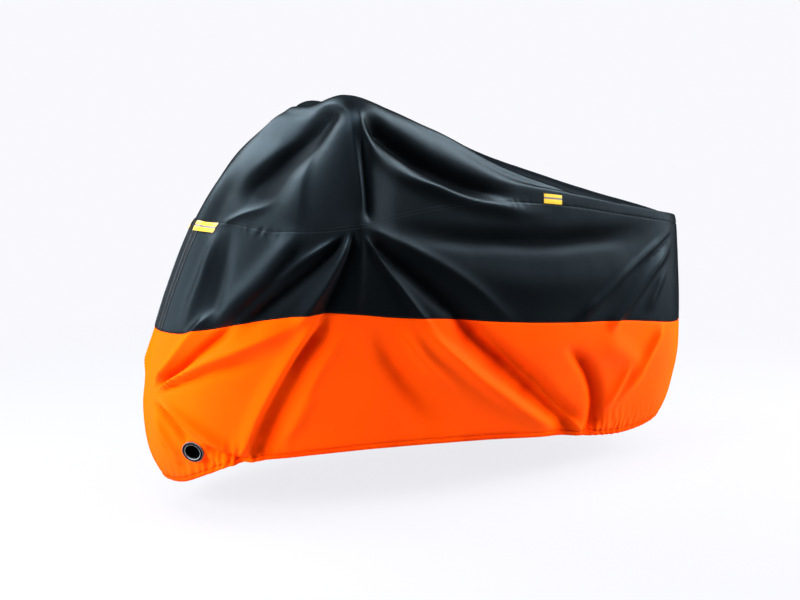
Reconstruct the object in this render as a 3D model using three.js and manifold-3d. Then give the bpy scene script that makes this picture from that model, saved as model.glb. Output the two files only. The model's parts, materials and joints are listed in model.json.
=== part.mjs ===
// Motorcycle cover, draped: black upper half, orange lower half, elastic hem,
// four reflective tags and two lock eyelets. Millimetres, +Z up, front towards -X.
// The left side of the cover is at -Y.
import * as THREE from 'three';
import { mergeVertices } from 'three/addons/utils/BufferGeometryUtils.js';
import Module from 'manifold-3d';

const wasm = await Module();
wasm.setup();

// Driving dimensions
const CLOTH_THICKNESS = 2;
const SEAM_GAP = 0.3;
const TAG_LIFT = 0.3;
const TAG_THICKNESS = 1.5;
const EYELET_HOLE_RADIUS = 24;
const EYELET_RADIUS = 35;
const EYELET_DEPTH = 9;
const EYELET_ROUNDING = 2.5;
const EYELET_SIDES = 24;
const CUT_CLEARANCE = 0.3;
const CUTTER_LENGTH = 60;
const WELD_TOLERANCE = 1e-4;
const SAME_PLACE = 1e-6;

// The frame's origin is under the top, on the centre line between the two high points.
// The tables below give x from the middle of the cover and heights above the ground.
const ORIGIN_X = -360;
const ORIGIN_HEIGHT = 1222 - CLOTH_THICKNESS;

// Seam levels, counted from the hem up
const HEM = 0;
const COLOUR_SEAM = 2;
const WAIST_SEAM = 3;
const CROWN = 5;

// Sections, counted from the nose back to the rear centre line
const NOSE = 0;
const BINDING_EDGE = 0.3;
const SKIRT_SPLIT = 3;
const TAIL_FOLDS_FROM = 7;
const MEASURED_FROM = 5;

// One row for each section from the nose to the rear. Each level has x, half width and
// height; the crown has no width. Tuck is how hard the elastic pulls the hem inwards.
const SECTIONS = [
  { name: 'nose', tuck: 170, hem: [-915, 0, 88], belly: [-972, 0, 290], colour: [-928, 0, 560],
    waist: [-795, 0, 890], ridge: [-662, 0, 1075], crown: [-560, 0, 1172] },
  { name: 'nose corner', tuck: 130, hem: [-882, 85, 92], belly: [-935, 115, 290], colour: [-880, 130, 565],
    waist: [-722, 145, 890], ridge: [-590, 125, 1090], crown: [-505, 0, 1195] },
  { name: 'cheek', tuck: 70, hem: [-825, 175, 135], belly: [-830, 225, 350], colour: [-765, 265, 605],
    waist: [-620, 285, 875], ridge: [-475, 175, 1160], crown: [-435, 0, 1212] },
  { name: 'high point', tuck: 20, hem: [-735, 245, 175], belly: [-635, 310, 415], colour: [-525, 355, 635],
    waist: [-425, 385, 890], ridge: [-372, 225, 1252], crown: [-360, 0, 1222] },
  { name: 'shoulder', tuck: 0, hem: [-425, 325, 195], belly: [-350, 345, 400], colour: [-270, 350, 600],
    waist: [-260, 330, 910], ridge: [-215, 215, 1195], crown: [-215, 0, 1208] },
  { name: 'hump', tuck: 0, hem: [-170, 330, 185], belly: [-140, 345, 390], colour: [-90, 340, 580],
    waist: [-65, 285, 925], ridge: [-20, 195, 1108], crown: [-30, 0, 1160] },
  { name: 'slope', tuck: 0, hem: [85, 315, 165], belly: [95, 330, 365], colour: [115, 325, 550],
    waist: [135, 245, 925], ridge: [180, 180, 1012], crown: [180, 0, 1070] },
  { name: 'low back', tuck: 15, hem: [360, 285, 133], belly: [350, 305, 330], colour: [350, 310, 525],
    waist: [390, 215, 900], ridge: [410, 160, 945], crown: [410, 0, 992] },
  { name: 'tail', tuck: 50, hem: [645, 220, 93], belly: [640, 255, 300], colour: [630, 265, 500],
    waist: [650, 180, 855], ridge: [640, 140, 884], crown: [628, 0, 924] },
  { name: 'tail corner', tuck: 120, hem: [845, 155, 114], belly: [885, 185, 280], colour: [895, 185, 460],
    waist: [905, 120, 808], ridge: [880, 90, 832], crown: [850, 0, 862] },
  { name: 'rear', tuck: 170, hem: [905, 0, 127], belly: [985, 0, 270], colour: [1008, 0, 455],
    waist: [1002, 0, 785], ridge: [982, 0, 812], crown: [950, 0, 830] },
];
const LEVELS = ['hem', 'belly', 'colour', 'waist', 'ridge', 'crown'];
const SPINE_END = 600;

// Folds on the cloth. Along is x on the flank and the cloth's own length round the nose and
// the tail; up is the height at the waist seam and the cloth's own length above and below it.
// Bow is how far the fold's middle lies to the left of its chord. Width is the half width at
// its two ends. A negative height is a valley. Sharp is 1 for a crease and 2 for a soft roll.
// Fade is the share of the length over which it rises and dies away.
const FOLD_COLUMNS = ['name', 'along0', 'up0', 'along1', 'up1', 'bow', 'width0', 'width1', 'height',
  'sharp', 'fade0', 'fade1'];
const FOLDS = [
  ['brow hollow', -450, 1270, -860, 940, -60, 14, 42, -19, 1.8, 0.15, 0.45],
  ['brow band', -415, 1295, -845, 1015, -60, 18, 44, 9, 2.0, 0.2, 0.45],
  ['cheek ridge', -525, 1205, -655, 800, 40, 24, 60, 15, 1.7, 0.25, 0.45],
  ['cheek shade', -480, 1230, -595, 840, 35, 20, 40, -9, 1.8, 0.25, 0.45],
  ['tag ridge', -900, 880, -655, 990, -5, 14, 20, 9, 1.6, 0.25, 0.5],
  ['upright line', -455, 1290, -450, 905, 5, 12, 16, 7, 1.6, 0.3, 0.35],
  ['upright shade', -380, 1225, -400, 890, 5, 14, 18, -11, 1.7, 0.4, 0.15],
  ['shoulder fold', -390, 1295, -195, 1020, -65, 14, 28, 15, 1.6, 0.15, 0.4],
  ['crescent', -310, 1090, 385, 880, -40, 20, 26, 16, 1.8, 0.3, 0.45],
  ['saddle hollow', -360, 1275, 230, 965, -50, 20, 34, -22, 1.9, 0.2, 0.35],
  ['ridge band', -270, 1260, 645, 880, 0, 15, 14, 7, 1.6, 0.3, 0.35],
  ['hammock shade', -365, 890, 895, 805, -50, 24, 32, -22, 2.0, 0.3, 0.3],
  ['hammock', -405, 880, 1025, 795, -140, 20, 32, 28, 1.8, 0.18, 0.15],
  ['fan a', -425, 890, 210, 470, 55, 12, 26, 16, 1.5, 0.12, 0.4],
  ['fan a shade', -420, 870, 20, 495, 20, 10, 32, -18, 1.7, 0.14, 0.35],
  ['fan b', -435, 870, -110, 495, 5, 12, 22, 15, 1.5, 0.15, 0.4],
  ['fan c shade', -450, 885, -550, 555, 20, 9, 15, -12, 1.6, 0.18, 0.35],
  ['fan c', -460, 880, -625, 540, 15, 12, 30, 16, 1.6, 0.15, 0.35],
  ['fan d shade', -465, 880, -815, 530, 15, 10, 30, -19, 1.7, 0.15, 0.3],
  ['fan e shade', -590, 855, -855, 530, 20, 12, 22, -12, 1.7, 0.3, 0.3],
  ['knee ridge', -615, 910, -905, 520, 30, 38, 52, 17, 1.9, 0.25, 0.3],
  ['nose hollow', -880, 880, -920, 520, 15, 18, 28, -16, 1.8, 0.2, 0.35],
  ['nose ridge', -915, 860, -1040, 505, 20, 18, 30, 11, 1.8, 0.2, 0.35],
  ['tail fan a', 955, 795, 340, 460, -30, 12, 20, 13, 1.5, 0.14, 0.4],
  ['tail fan shade', 955, 790, 425, 460, -25, 12, 20, -14, 1.7, 0.14, 0.35],
  ['tail fan b', 960, 780, 510, 445, -15, 12, 28, 13, 1.6, 0.14, 0.4],
  ['nose fan a', -1125, 350, -830, 590, -15, 12, 34, 15, 1.6, 0.15, 0.3],
  ['nose fan shade', -1100, 340, -785, 585, -20, 10, 28, -15, 1.6, 0.15, 0.3],
  ['nose fan b', -1100, 340, -540, 600, 0, 12, 38, 13, 1.7, 0.15, 0.3],
  ['nose fan c', -1120, 330, -770, 90, 20, 10, 24, 12, 1.6, 0.18, 0.35],
  ['nose fan d', -1140, 305, -945, 100, 0, 10, 26, 12, 1.7, 0.18, 0.35],
  ['crease', -520, 635, -765, 90, -25, 12, 16, 17, 1.3, 0.12, 0.12],
  ['crease shade', -500, 620, -735, 95, -10, 12, 18, -18, 1.5, 0.12, 0.12],
  ['skirt hollow', -400, 595, -95, 195, -5, 18, 26, -10, 1.9, 0.3, 0.35],
  ['skirt ridge a', -290, 590, -30, 295, -15, 16, 26, 9, 1.8, 0.3, 0.45],
  ['skirt ridge b', -235, 600, 420, 110, -35, 16, 30, 16, 1.8, 0.22, 0.2],
  ['skirt valley', -135, 605, 455, 105, 0, 16, 24, -30, 1.6, 0.2, 0.14],
  ['skirt crisp', -25, 570, 475, 100, 0, 11, 15, 16, 1.3, 0.2, 0.1],
  ['rear valley', 360, 415, 515, 95, 65, 12, 18, -17, 1.6, 0.35, 0.1],
  ['rear ridge', 835, 475, 590, 175, 10, 15, 26, 12, 1.6, 0.2, 0.35],
  ['rear puff', 480, 455, 750, 275, 15, 40, 40, 8, 2.0, 0.35, 0.35],
].map((row) => Object.fromEntries(FOLD_COLUMNS.map((column, i) => [column, row[i]])));

// Places where something under the cloth pushes it out
const BUMPS = [
  { name: 'side point', along: -440, up: 885, wide: 44, tall: 48, height: 13, sharp: 1.7 },
  { name: 'front high point', along: -405, up: 1300, wide: 34, tall: 30, height: 8, sharp: 1.8 },
  { name: 'front knot', along: -1120, up: 345, wide: 36, tall: 40, height: 6, sharp: 1.6 },
];

// The right side is like the left one, but its folds are lower and lie a little further
// back, and its high point is lower
const RIGHT_FOLD_SHARE = 0.8;
const RIGHT_FOLD_SHIFT = 30;
const RIGHT_POINT = { along: -405, up: 1270, radius: 170, drop: 36 };

// Places on the cloth, as section and level
const EYELET_AT = { section: 1.63, level: 0.45 };
const TAGS = [
  { name: 'tag_front', fromSection: BINDING_EDGE, toSection: 0.66, fromLevel: 2.88, toLevel: WAIST_SEAM },
  { name: 'tag_rear', fromSection: 6.68, toSection: 7, fromLevel: WAIST_SEAM, toLevel: 3.22 },
];

// Grid: columns between two sections, and rows between two levels
const COLUMNS_PER_SECTION = [4, 5, 6, 7, 7, 7, 7, 7, 5, 4];
const ROWS_PER_LEVEL = [5, 5, 8, 6, 3];

// The relief at a grid point is the mean over this disc, so that narrow folds stay even
const SOFTENING_RADII = [0, 18, 36];
const SOFTENING_WEIGHTS = [1, 2, 1.2];
const SOFTENING_DIRECTIONS = 8;

const smooth = (x) => {
  const t = THREE.MathUtils.clamp(x, 0, 1);
  return t * t * (3 - 2 * t);
};

// Even steps between whole numbers, with the nearest steps moved to the edges given
const gridValues = (counts, edges) => {
  const values = counts.flatMap((count, start) => (
    Array.from({ length: count }, (_, i) => start + i / count)));
  values.push(counts.length);
  for (const edge of edges) {
    const nearest = values.reduce((best, value, i) => (
      Math.abs(value - edge) < Math.abs(values[best] - edge) ? i : best), 0);
    values[nearest] = edge;
  }
  return values;
};

const TAG_SECTIONS = TAGS.flatMap((tag) => [tag.fromSection, tag.toSection]);
const TAG_LEVELS = TAGS.flatMap((tag) => [tag.fromLevel, tag.toLevel]);
const SECTION_AT = gridValues(COLUMNS_PER_SECTION, [BINDING_EDGE, ...TAG_SECTIONS]);
const LEVEL_AT = gridValues(ROWS_PER_LEVEL, TAG_LEVELS);
const COLUMN_COUNT = SECTION_AT.length;
const ROW_COUNT = LEVEL_AT.length;
const columnOf = (section) => SECTION_AT.findIndex((value) => Math.abs(value - section) < SAME_PLACE);
const rowOf = (level) => LEVEL_AT.findIndex((value) => Math.abs(value - level) < SAME_PLACE);

// Catmull-Rom curve through a list of points whose first and last entries only steer it
const splineAt = (points, position) => {
  const i = Math.min(Math.floor(position), points.length - 4);
  const t = position - i;
  const [a, b, c, d] = points.slice(i, i + 4);
  const curve = (p, q, r, s) => 0.5 * (2 * q + (r - p) * t
    + (2 * p - 5 * q + 4 * r - s) * t * t + (3 * q - p - 3 * r + s) * t * t * t);
  return new THREE.Vector3(curve(a.x, b.x, c.x, d.x), curve(a.y, b.y, c.y, d.y), curve(a.z, b.z, c.z, d.z));
};

const mirrored = (point) => new THREE.Vector3(point.x, -point.y, point.z);

// Points of one section, from a steering point under the hem to one past the crown
const sectionCurve = (section) => {
  const points = LEVELS.map((level) => {
    const [x, halfWidth, height] = section[level];
    return new THREE.Vector3(x, -halfWidth, height);
  });
  const [hem, belly] = points;
  const spine = THREE.MathUtils.clamp(hem.x, -SPINE_END, SPINE_END);
  const inward = new THREE.Vector3(spine - hem.x, -hem.y, 0).normalize();
  const steer = hem.clone().multiplyScalar(2).sub(belly).addScaledVector(inward, section.tuck);
  return [steer, ...points, mirrored(points.at(-2))];
};

// The left half of the cloth without its folds, by columns and rows
const plainGrid = () => {
  const curves = SECTIONS.map(sectionCurve);
  return SECTION_AT.map((section) => LEVEL_AT.map((level) => {
    const across = curves.map((curve) => splineAt(curve, level));
    const last = across.length - 1;
    const ring = [mirrored(across[1]), ...across, mirrored(across[last - 1])];
    return splineAt(ring, section);
  }));
};

// Cloth coordinates of each grid point, as the fold table uses them
const clothGrid = (grid) => {
  const anchor = columnOf(MEASURED_FROM);
  const waist = rowOf(WAIST_SEAM);
  const cloth = grid.map((column) => column.map(() => ({ along: 0, up: 0 })));
  for (let r = 0; r < ROW_COUNT; r += 1) {
    let length = 0;
    const lengths = grid.map((column, c) => {
      if (c > 0) length += column[r].distanceTo(grid[c - 1][r]);
      return length;
    });
    lengths.forEach((value, c) => { cloth[c][r].along = value - lengths[anchor] + grid[anchor][r].x; });
  }
  grid.forEach((column, c) => {
    let length = 0;
    const lengths = column.map((point, r) => {
      if (r > 0) length += point.distanceTo(column[r - 1]);
      return length;
    });
    lengths.forEach((value, r) => { cloth[c][r].up = value - lengths[waist] + column[waist].z; });
  });
  return cloth;
};

const foldHeight = (fold, along, up) => {
  const run = Math.hypot(fold.along1 - fold.along0, fold.up1 - fold.up0);
  const tx = (fold.along1 - fold.along0) / run;
  const ty = (fold.up1 - fold.up0) / run;
  const t = ((along - fold.along0) * tx + (up - fold.up0) * ty) / run;
  if (t <= 0 || t >= 1) return 0;
  const slope = (4 * fold.bow * (1 - 2 * t)) / run;
  const offset = (up - fold.up0) * tx - (along - fold.along0) * ty - 4 * fold.bow * t * (1 - t);
  const width = fold.width0 + (fold.width1 - fold.width0) * t;
  const share = Math.abs(offset) / Math.hypot(1, slope) / width;
  return fold.height * smooth(t / fold.fade0) * smooth((1 - t) / fold.fade1) * Math.exp(-(share ** fold.sharp));
};

const bumpHeight = (bump, along, up) => {
  const share = Math.hypot((along - bump.along) / bump.wide, (up - bump.up) / bump.tall);
  return bump.height * Math.exp(-(share ** bump.sharp));
};

const sharpRelief = (along, up) => FOLDS.reduce((sum, fold) => sum + foldHeight(fold, along, up), 0)
  + BUMPS.reduce((sum, bump) => sum + bumpHeight(bump, along, up), 0);

const reliefAt = (along, up) => {
  let sum = 0;
  let weights = 0;
  SOFTENING_RADII.forEach((radius, ring) => {
    for (let i = 0; i < SOFTENING_DIRECTIONS; i += 1) {
      const angle = (2 * Math.PI * i) / SOFTENING_DIRECTIONS;
      const weight = SOFTENING_WEIGHTS[ring];
      sum += weight * sharpRelief(along + radius * Math.cos(angle), up + radius * Math.sin(angle));
      weights += weight;
    }
  });
  return sum / weights;
};

// Normals of a grid whose first and last columns and last row meet their mirror image
const gridNormals = (grid) => grid.map((column, c) => column.map((_, r) => {
  const before = c > 0 ? grid[c - 1][r] : mirrored(grid[1][r]);
  const after = c < COLUMN_COUNT - 1 ? grid[c + 1][r] : mirrored(grid[COLUMN_COUNT - 2][r]);
  const below = column[Math.max(r - 1, 0)];
  const above = r < ROW_COUNT - 1 ? column[r + 1] : mirrored(column[ROW_COUNT - 2]);
  const across = after.clone().sub(before);
  return across.cross(above.clone().sub(below)).normalize();
}));

// Draped points of both sides. The right side meets the left one on the centre lines, so
// what sets it apart fades out towards the nose, the rear and the crown.
const drapedSides = () => {
  const plain = plainGrid();
  const cloth = clothGrid(plain);
  const normals = gridNormals(plain);
  const left = plain.map((column, c) => column.map((point, r) => {
    const { along, up } = cloth[c][r];
    return point.clone().addScaledVector(normals[c][r], reliefAt(along, up));
  }));
  const right = plain.map((column, c) => column.map((point, r) => {
    const { along, up } = cloth[c][r];
    const section = SECTION_AT[c];
    const own = smooth(Math.min(section, SECTIONS.length - 1 - section)) * smooth(CROWN - LEVEL_AT[r]);
    const share = 1 - (1 - RIGHT_FOLD_SHARE) * own;
    const relief = share * reliefAt(along - RIGHT_FOLD_SHIFT * own, up);
    const away = Math.hypot(along - RIGHT_POINT.along, up - RIGHT_POINT.up) / RIGHT_POINT.radius;
    const draped = mirrored(point.clone().addScaledVector(normals[c][r], relief));
    draped.z -= RIGHT_POINT.drop * own * Math.exp(-away * away);
    return draped;
  }));
  return { left, right };
};

// The whole cloth as one welded surface: shared points, normals and a lookup by place
const weldedCloth = () => {
  const sides = drapedSides();
  const points = [];
  const index = { left: [], right: [] };
  const isShared = (c, r) => c === 0 || c === COLUMN_COUNT - 1 || r === ROW_COUNT - 1;
  for (const side of ['left', 'right']) {
    index[side] = sides[side].map((column, c) => column.map((point, r) => {
      if (side === 'right' && isShared(c, r)) return index.left[c][r];
      const place = isShared(c, r) && point.y !== 0 ? new THREE.Vector3(point.x, 0, point.z) : point;
      points.push(new THREE.Vector3(place.x - ORIGIN_X, place.y, place.z - ORIGIN_HEIGHT));
      return points.length - 1;
    }));
  }
  return { points, index };
};

const { points: CLOTH_POINTS, index: CLOTH_INDEX } = weldedCloth();

// A grid cell is split along the diagonal that follows the folds there: they fall towards
// the rear behind the high points, and towards the front elsewhere
const quadTriangles = (side, c, r) => {
  const index = CLOTH_INDEX[side];
  const ring = [index[c][r], index[c + 1][r], index[c + 1][r + 1], index[c][r + 1]];
  const fallsBack = SECTION_AT[c] >= SKIRT_SPLIT && SECTION_AT[c] < TAIL_FOLDS_FROM;
  const [a, b, d, e] = fallsBack ? [...ring.slice(1), ring[0]] : ring;
  return side === 'left' ? [[a, b, d], [a, d, e]] : [[a, d, b], [a, e, d]];
};

// Triangles of one side between two columns and two rows
const patchTriangles = (side, fromColumn, toColumn, fromRow, toRow) => {
  const triangles = [];
  for (let c = fromColumn; c < toColumn; c += 1) {
    for (let r = fromRow; r < toRow; r += 1) triangles.push(...quadTriangles(side, c, r));
  }
  return triangles;
};

const clothNormals = () => {
  const normals = CLOTH_POINTS.map(() => new THREE.Vector3());
  for (const side of ['left', 'right']) {
    for (const triangle of patchTriangles(side, 0, COLUMN_COUNT - 1, 0, ROW_COUNT - 1)) {
      const [a, b, c] = triangle.map((i) => CLOTH_POINTS[i]);
      const area = b.clone().sub(a).cross(c.clone().sub(a));
      triangle.forEach((i) => normals[i].add(area));
    }
  }
  return normals.map((normal) => normal.normalize());
};

const CLOTH_NORMALS = clothNormals();

// Closed solid between two offsets of a patch. Its rim is drawn in by half a seam gap.
const sheetGeometry = (triangles, inner, outer) => {
  const used = [...new Set(triangles.flat())];
  const local = new Map(used.map((id, i) => [id, i]));
  const edges = new Map();
  for (const triangle of triangles) {
    triangle.forEach((a, i) => {
      const b = triangle[(i + 1) % 3];
      const twin = `${b},${a}`;
      if (edges.has(twin)) edges.delete(twin);
      else edges.set(`${a},${b}`, [a, b]);
    });
  }
  const rim = [...edges.values()];
  const inset = new Map();
  for (const [a, b] of rim) {
    const along = CLOTH_POINTS[b].clone().sub(CLOTH_POINTS[a]).normalize();
    for (const id of [a, b]) {
      const inward = CLOTH_NORMALS[id].clone().cross(along);
      inset.set(id, (inset.get(id) ?? new THREE.Vector3()).add(inward));
    }
  }
  const place = (id, offset) => {
    const point = CLOTH_POINTS[id].clone().addScaledVector(CLOTH_NORMALS[id], offset);
    const inward = inset.get(id);
    return inward ? point.addScaledVector(inward.clone().normalize(), SEAM_GAP / 2) : point;
  };
  const positions = [outer, inner].flatMap((offset) => used.flatMap((id) => place(id, offset).toArray()));
  const count = used.length;
  const faces = [];
  for (const triangle of triangles) {
    const [a, b, c] = triangle.map((id) => local.get(id));
    faces.push(a, b, c, count + a, count + c, count + b);
  }
  for (const [from, to] of rim) {
    const [a, b] = [local.get(from), local.get(to)];
    faces.push(a, count + a, b, b, count + a, count + b);
  }
  const geometry = new THREE.BufferGeometry();
  geometry.setAttribute('position', new THREE.Float32BufferAttribute(positions, 3));
  geometry.setIndex(faces);
  return geometry;
};

const clothSheet = (triangles) => sheetGeometry(triangles, -CLOTH_THICKNESS, 0);

const toManifold = (geometry) => {
  const bare = geometry.clone();
  bare.deleteAttribute('normal');
  bare.deleteAttribute('uv');
  const merged = mergeVertices(bare, WELD_TOLERANCE);
  return new wasm.Manifold(new wasm.Mesh({
    numProp: 3,
    vertProperties: new Float32Array(merged.attributes.position.array),
    triVerts: new Uint32Array(merged.index.array),
  }));
};

const fromManifold = (solid) => {
  const mesh = solid.getMesh();
  const geometry = new THREE.BufferGeometry();
  geometry.setAttribute('position', new THREE.BufferAttribute(mesh.vertProperties, 3));
  geometry.setIndex(new THREE.BufferAttribute(mesh.triVerts, 1));
  return geometry;
};

// Point and outward normal on the draped cloth, between four grid points
const clothPlace = (side, { section, level }) => {
  const c = SECTION_AT.findIndex((value) => value > section) - 1;
  const r = LEVEL_AT.findIndex((value) => value > level) - 1;
  const u = (section - SECTION_AT[c]) / (SECTION_AT[c + 1] - SECTION_AT[c]);
  const v = (level - LEVEL_AT[r]) / (LEVEL_AT[r + 1] - LEVEL_AT[r]);
  const index = CLOTH_INDEX[side];
  const blend = (list) => {
    const low = list[index[c][r]].clone().lerp(list[index[c + 1][r]], u);
    const high = list[index[c][r + 1]].clone().lerp(list[index[c + 1][r + 1]], u);
    return low.lerp(high, v);
  };
  return { point: blend(CLOTH_POINTS), normal: blend(CLOTH_NORMALS).normalize() };
};

const UP_AXIS = new THREE.Vector3(0, 1, 0);

const eyeletTurn = (side) => {
  const { point, normal } = clothPlace(side, EYELET_AT);
  const centre = point.clone().addScaledVector(normal, -CLOTH_THICKNESS / 2);
  return { centre, turn: new THREE.Quaternion().setFromUnitVectors(UP_AXIS, normal) };
};

const eyeletCutter = (side) => {
  const { centre, turn } = eyeletTurn(side);
  const radius = EYELET_RADIUS + CUT_CLEARANCE;
  const cutter = new THREE.CylinderGeometry(radius, radius, CUTTER_LENGTH, EYELET_SIDES);
  cutter.applyQuaternion(turn);
  cutter.translate(centre.x, centre.y, centre.z);
  return cutter;
};

const eyeletGeometry = () => {
  const half = EYELET_DEPTH / 2;
  const round = EYELET_ROUNDING;
  const outline = [
    [EYELET_HOLE_RADIUS, -half + round], [EYELET_HOLE_RADIUS + round, -half],
    [EYELET_RADIUS, -half], [EYELET_RADIUS, half - round],
    [EYELET_RADIUS - round, half], [EYELET_HOLE_RADIUS + round, half],
    [EYELET_HOLE_RADIUS, half - round],
  ].map(([radius, height]) => new THREE.Vector2(radius, height));
  return new THREE.LatheGeometry([...outline, outline[0]], EYELET_SIDES);
};

const MATERIALS = {
  black: new THREE.MeshStandardMaterial({ color: 0x171b1e, roughness: 0.5, metalness: 0 }),
  orange: new THREE.MeshStandardMaterial({ color: 0xf25a08, roughness: 0.5, metalness: 0 }),
  binding: new THREE.MeshStandardMaterial({ color: 0x0d1013, roughness: 0.6, metalness: 0 }),
  reflective: new THREE.MeshStandardMaterial({ color: 0xe8b52c, roughness: 0.4, metalness: 0 }),
  ring: new THREE.MeshStandardMaterial({ color: 0x0a0a0b, roughness: 0.25, metalness: 0 }),
};

const cover = new THREE.Group();

const addPiece = (name, geometry, material) => {
  const mesh = new THREE.Mesh(geometry, material);
  mesh.name = name;
  cover.add(mesh);
  return mesh;
};

const LAST_COLUMN = COLUMN_COUNT - 1;
const LAST_ROW = ROW_COUNT - 1;
const WAIST_ROW = rowOf(WAIST_SEAM);
const COLOUR_ROW = rowOf(COLOUR_SEAM);
const BINDING_COLUMN = columnOf(BINDING_EDGE);
const SPLIT_COLUMN = columnOf(SKIRT_SPLIT);
const HEM_ROW = rowOf(HEM);
const NOSE_COLUMN = columnOf(NOSE);

const roof = ['left', 'right'].flatMap((side) => (
  patchTriangles(side, NOSE_COLUMN, LAST_COLUMN, WAIST_ROW, LAST_ROW)));
addPiece('roof_panel', clothSheet(roof), MATERIALS.black);

const binding = ['left', 'right'].flatMap((side) => (
  patchTriangles(side, NOSE_COLUMN, BINDING_COLUMN, COLOUR_ROW, WAIST_ROW)));
addPiece('front_binding', clothSheet(binding), MATERIALS.binding);

for (const side of ['left', 'right']) {
  const panel = patchTriangles(side, BINDING_COLUMN, LAST_COLUMN, COLOUR_ROW, WAIST_ROW);
  addPiece(`side_panel_${side}`, clothSheet(panel), MATERIALS.black);

  const skirt = patchTriangles(side, SPLIT_COLUMN, LAST_COLUMN, HEM_ROW, COLOUR_ROW);
  addPiece(`skirt_${side}`, clothSheet(skirt), MATERIALS.orange);

  const noseSkirt = toManifold(clothSheet(patchTriangles(side, NOSE_COLUMN, SPLIT_COLUMN, HEM_ROW, COLOUR_ROW)));
  const cut = noseSkirt.subtract(toManifold(eyeletCutter(side)));
  addPiece(`nose_skirt_${side}`, fromManifold(cut), MATERIALS.orange);

  const eyelet = addPiece(`eyelet_${side}`, eyeletGeometry(), MATERIALS.ring);
  const { centre, turn } = eyeletTurn(side);
  eyelet.position.copy(centre);
  eyelet.quaternion.copy(turn);

  for (const tag of TAGS) {
    const patch = patchTriangles(side, columnOf(tag.fromSection), columnOf(tag.toSection),
      rowOf(tag.fromLevel), rowOf(tag.toLevel));
    const geometry = sheetGeometry(patch, TAG_LIFT, TAG_LIFT + TAG_THICKNESS);
    addPiece(`${tag.name}_${side}`, geometry, MATERIALS.reflective);
  }
}

export default cover;
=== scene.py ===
"""Looks of a fitted two-tone cover, draped: black coated cloth above, orange below.

The cloth is one surface of two parameters. Sections run from the nose to the rear, levels from
the hem to the crown, and each panel is a part of that surface. Tables are in millimetres, with x
from the middle of the cover and heights above the ground. Meshes are in metres, in the frame.
"""

from __future__ import annotations

import json
import logging
import math
from dataclasses import dataclass, field
from enum import Enum

import bpy
import numpy as np
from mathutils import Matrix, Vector

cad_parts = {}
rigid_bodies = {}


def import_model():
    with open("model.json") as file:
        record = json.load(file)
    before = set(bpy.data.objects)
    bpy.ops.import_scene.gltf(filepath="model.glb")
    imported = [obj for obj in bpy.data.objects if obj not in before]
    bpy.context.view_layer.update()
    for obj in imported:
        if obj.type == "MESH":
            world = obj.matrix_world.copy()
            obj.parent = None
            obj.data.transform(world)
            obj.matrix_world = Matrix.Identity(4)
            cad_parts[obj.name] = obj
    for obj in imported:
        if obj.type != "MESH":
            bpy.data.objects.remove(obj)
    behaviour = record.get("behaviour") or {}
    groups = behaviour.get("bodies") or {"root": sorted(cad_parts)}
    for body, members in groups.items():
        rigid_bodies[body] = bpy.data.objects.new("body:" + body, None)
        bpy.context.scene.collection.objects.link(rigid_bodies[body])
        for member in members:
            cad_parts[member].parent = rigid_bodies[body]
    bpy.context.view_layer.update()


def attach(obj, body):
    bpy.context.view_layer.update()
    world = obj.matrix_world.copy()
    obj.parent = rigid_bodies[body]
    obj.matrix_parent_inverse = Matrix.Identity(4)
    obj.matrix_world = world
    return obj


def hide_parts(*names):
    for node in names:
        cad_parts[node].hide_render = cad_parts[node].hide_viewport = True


LOG = logging.getLogger("cover")
BODY = "root"
MM = 0.001
ORIGIN_X = -360.0
ORIGIN_HEIGHT = 1220.0

Array = np.ndarray
Colour = tuple[float, float, float]
Pair = tuple[float, float]
Piece = bpy.types.Object
Material = bpy.types.Material
Socket = bpy.types.NodeSocket

MIRROR = np.array([1.0, -1.0, 1.0])
# Share of an even step that is taken away next to a seam.
CROWDING = 0.6
# Fold depths in metres for the painted shade in hollows: the deeper colour is full at the first and starts at
# the second.
VALLEY_SHADE = (-0.032, -0.001)


class Side(Enum):
    """The two sides of the cover, with the sign of their y."""

    LEFT = -1.0
    RIGHT = 1.0

    @property
    def label(self) -> str:
        """The side's name in a node's name."""
        return self.name.lower()


class Slot(Enum):
    """Material slots of the record."""

    BLACK = "black_cloth"
    ORANGE = "orange_cloth"
    BINDING = "binding_tape"
    REFLECTIVE = "reflective_tape"
    RING = "eyelet_ring"


def smooth(x: Array | float) -> Array:
    """Smooth step from 0 to 1: 3t squared less 2t cubed, held outside."""
    t = np.clip(x, 0.0, 1.0)
    return t * t * (3.0 - 2.0 * t)


def unit(vectors: Array) -> Array:
    """The vectors at length one."""
    return vectors / np.maximum(np.linalg.norm(vectors, axis=-1, keepdims=True), 1e-9)


def in_frame(points: Array) -> Array:
    """Points of the tables, in millimetres above the ground, in the frame in metres."""
    return (points - np.array([ORIGIN_X, 0.0, ORIGIN_HEIGHT])) * MM


def slope_noise(x: Array, y: Array, seed: int) -> Array:
    """Smooth noise in the plane.

    Each whole number pair has a random slope. A point takes the heights of the four planes
    around it, blended with the curve 6t^5 - 15t^4 + 10t^3.

    Args:
        x: First coordinate, in cells.
        y: Second coordinate, in cells.
        seed: Start of the random slopes.

    Returns:
        Heights from about -1 to 1.
    """
    cells = 64
    angles = np.random.default_rng(seed).uniform(0.0, 2.0 * math.pi, (cells, cells))
    column, row = np.floor(x).astype(int), np.floor(y).astype(int)
    fx, fy = x - column, y - row

    def plane(i: int, j: int) -> Array:
        """Height of the plane that starts at one corner of the cell."""
        angle = angles[(column + i) % cells, (row + j) % cells]
        return np.cos(angle) * (fx - i) + np.sin(angle) * (fy - j)

    blend_x = fx**3 * (6.0 * fx**2 - 15.0 * fx + 10.0)
    blend_y = fy**3 * (6.0 * fy**2 - 15.0 * fy + 10.0)
    low = plane(0, 0) + blend_x * (plane(1, 0) - plane(0, 0))
    high = plane(0, 1) + blend_x * (plane(1, 1) - plane(0, 1))
    return 1.5 * (low + blend_y * (high - low))


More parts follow.
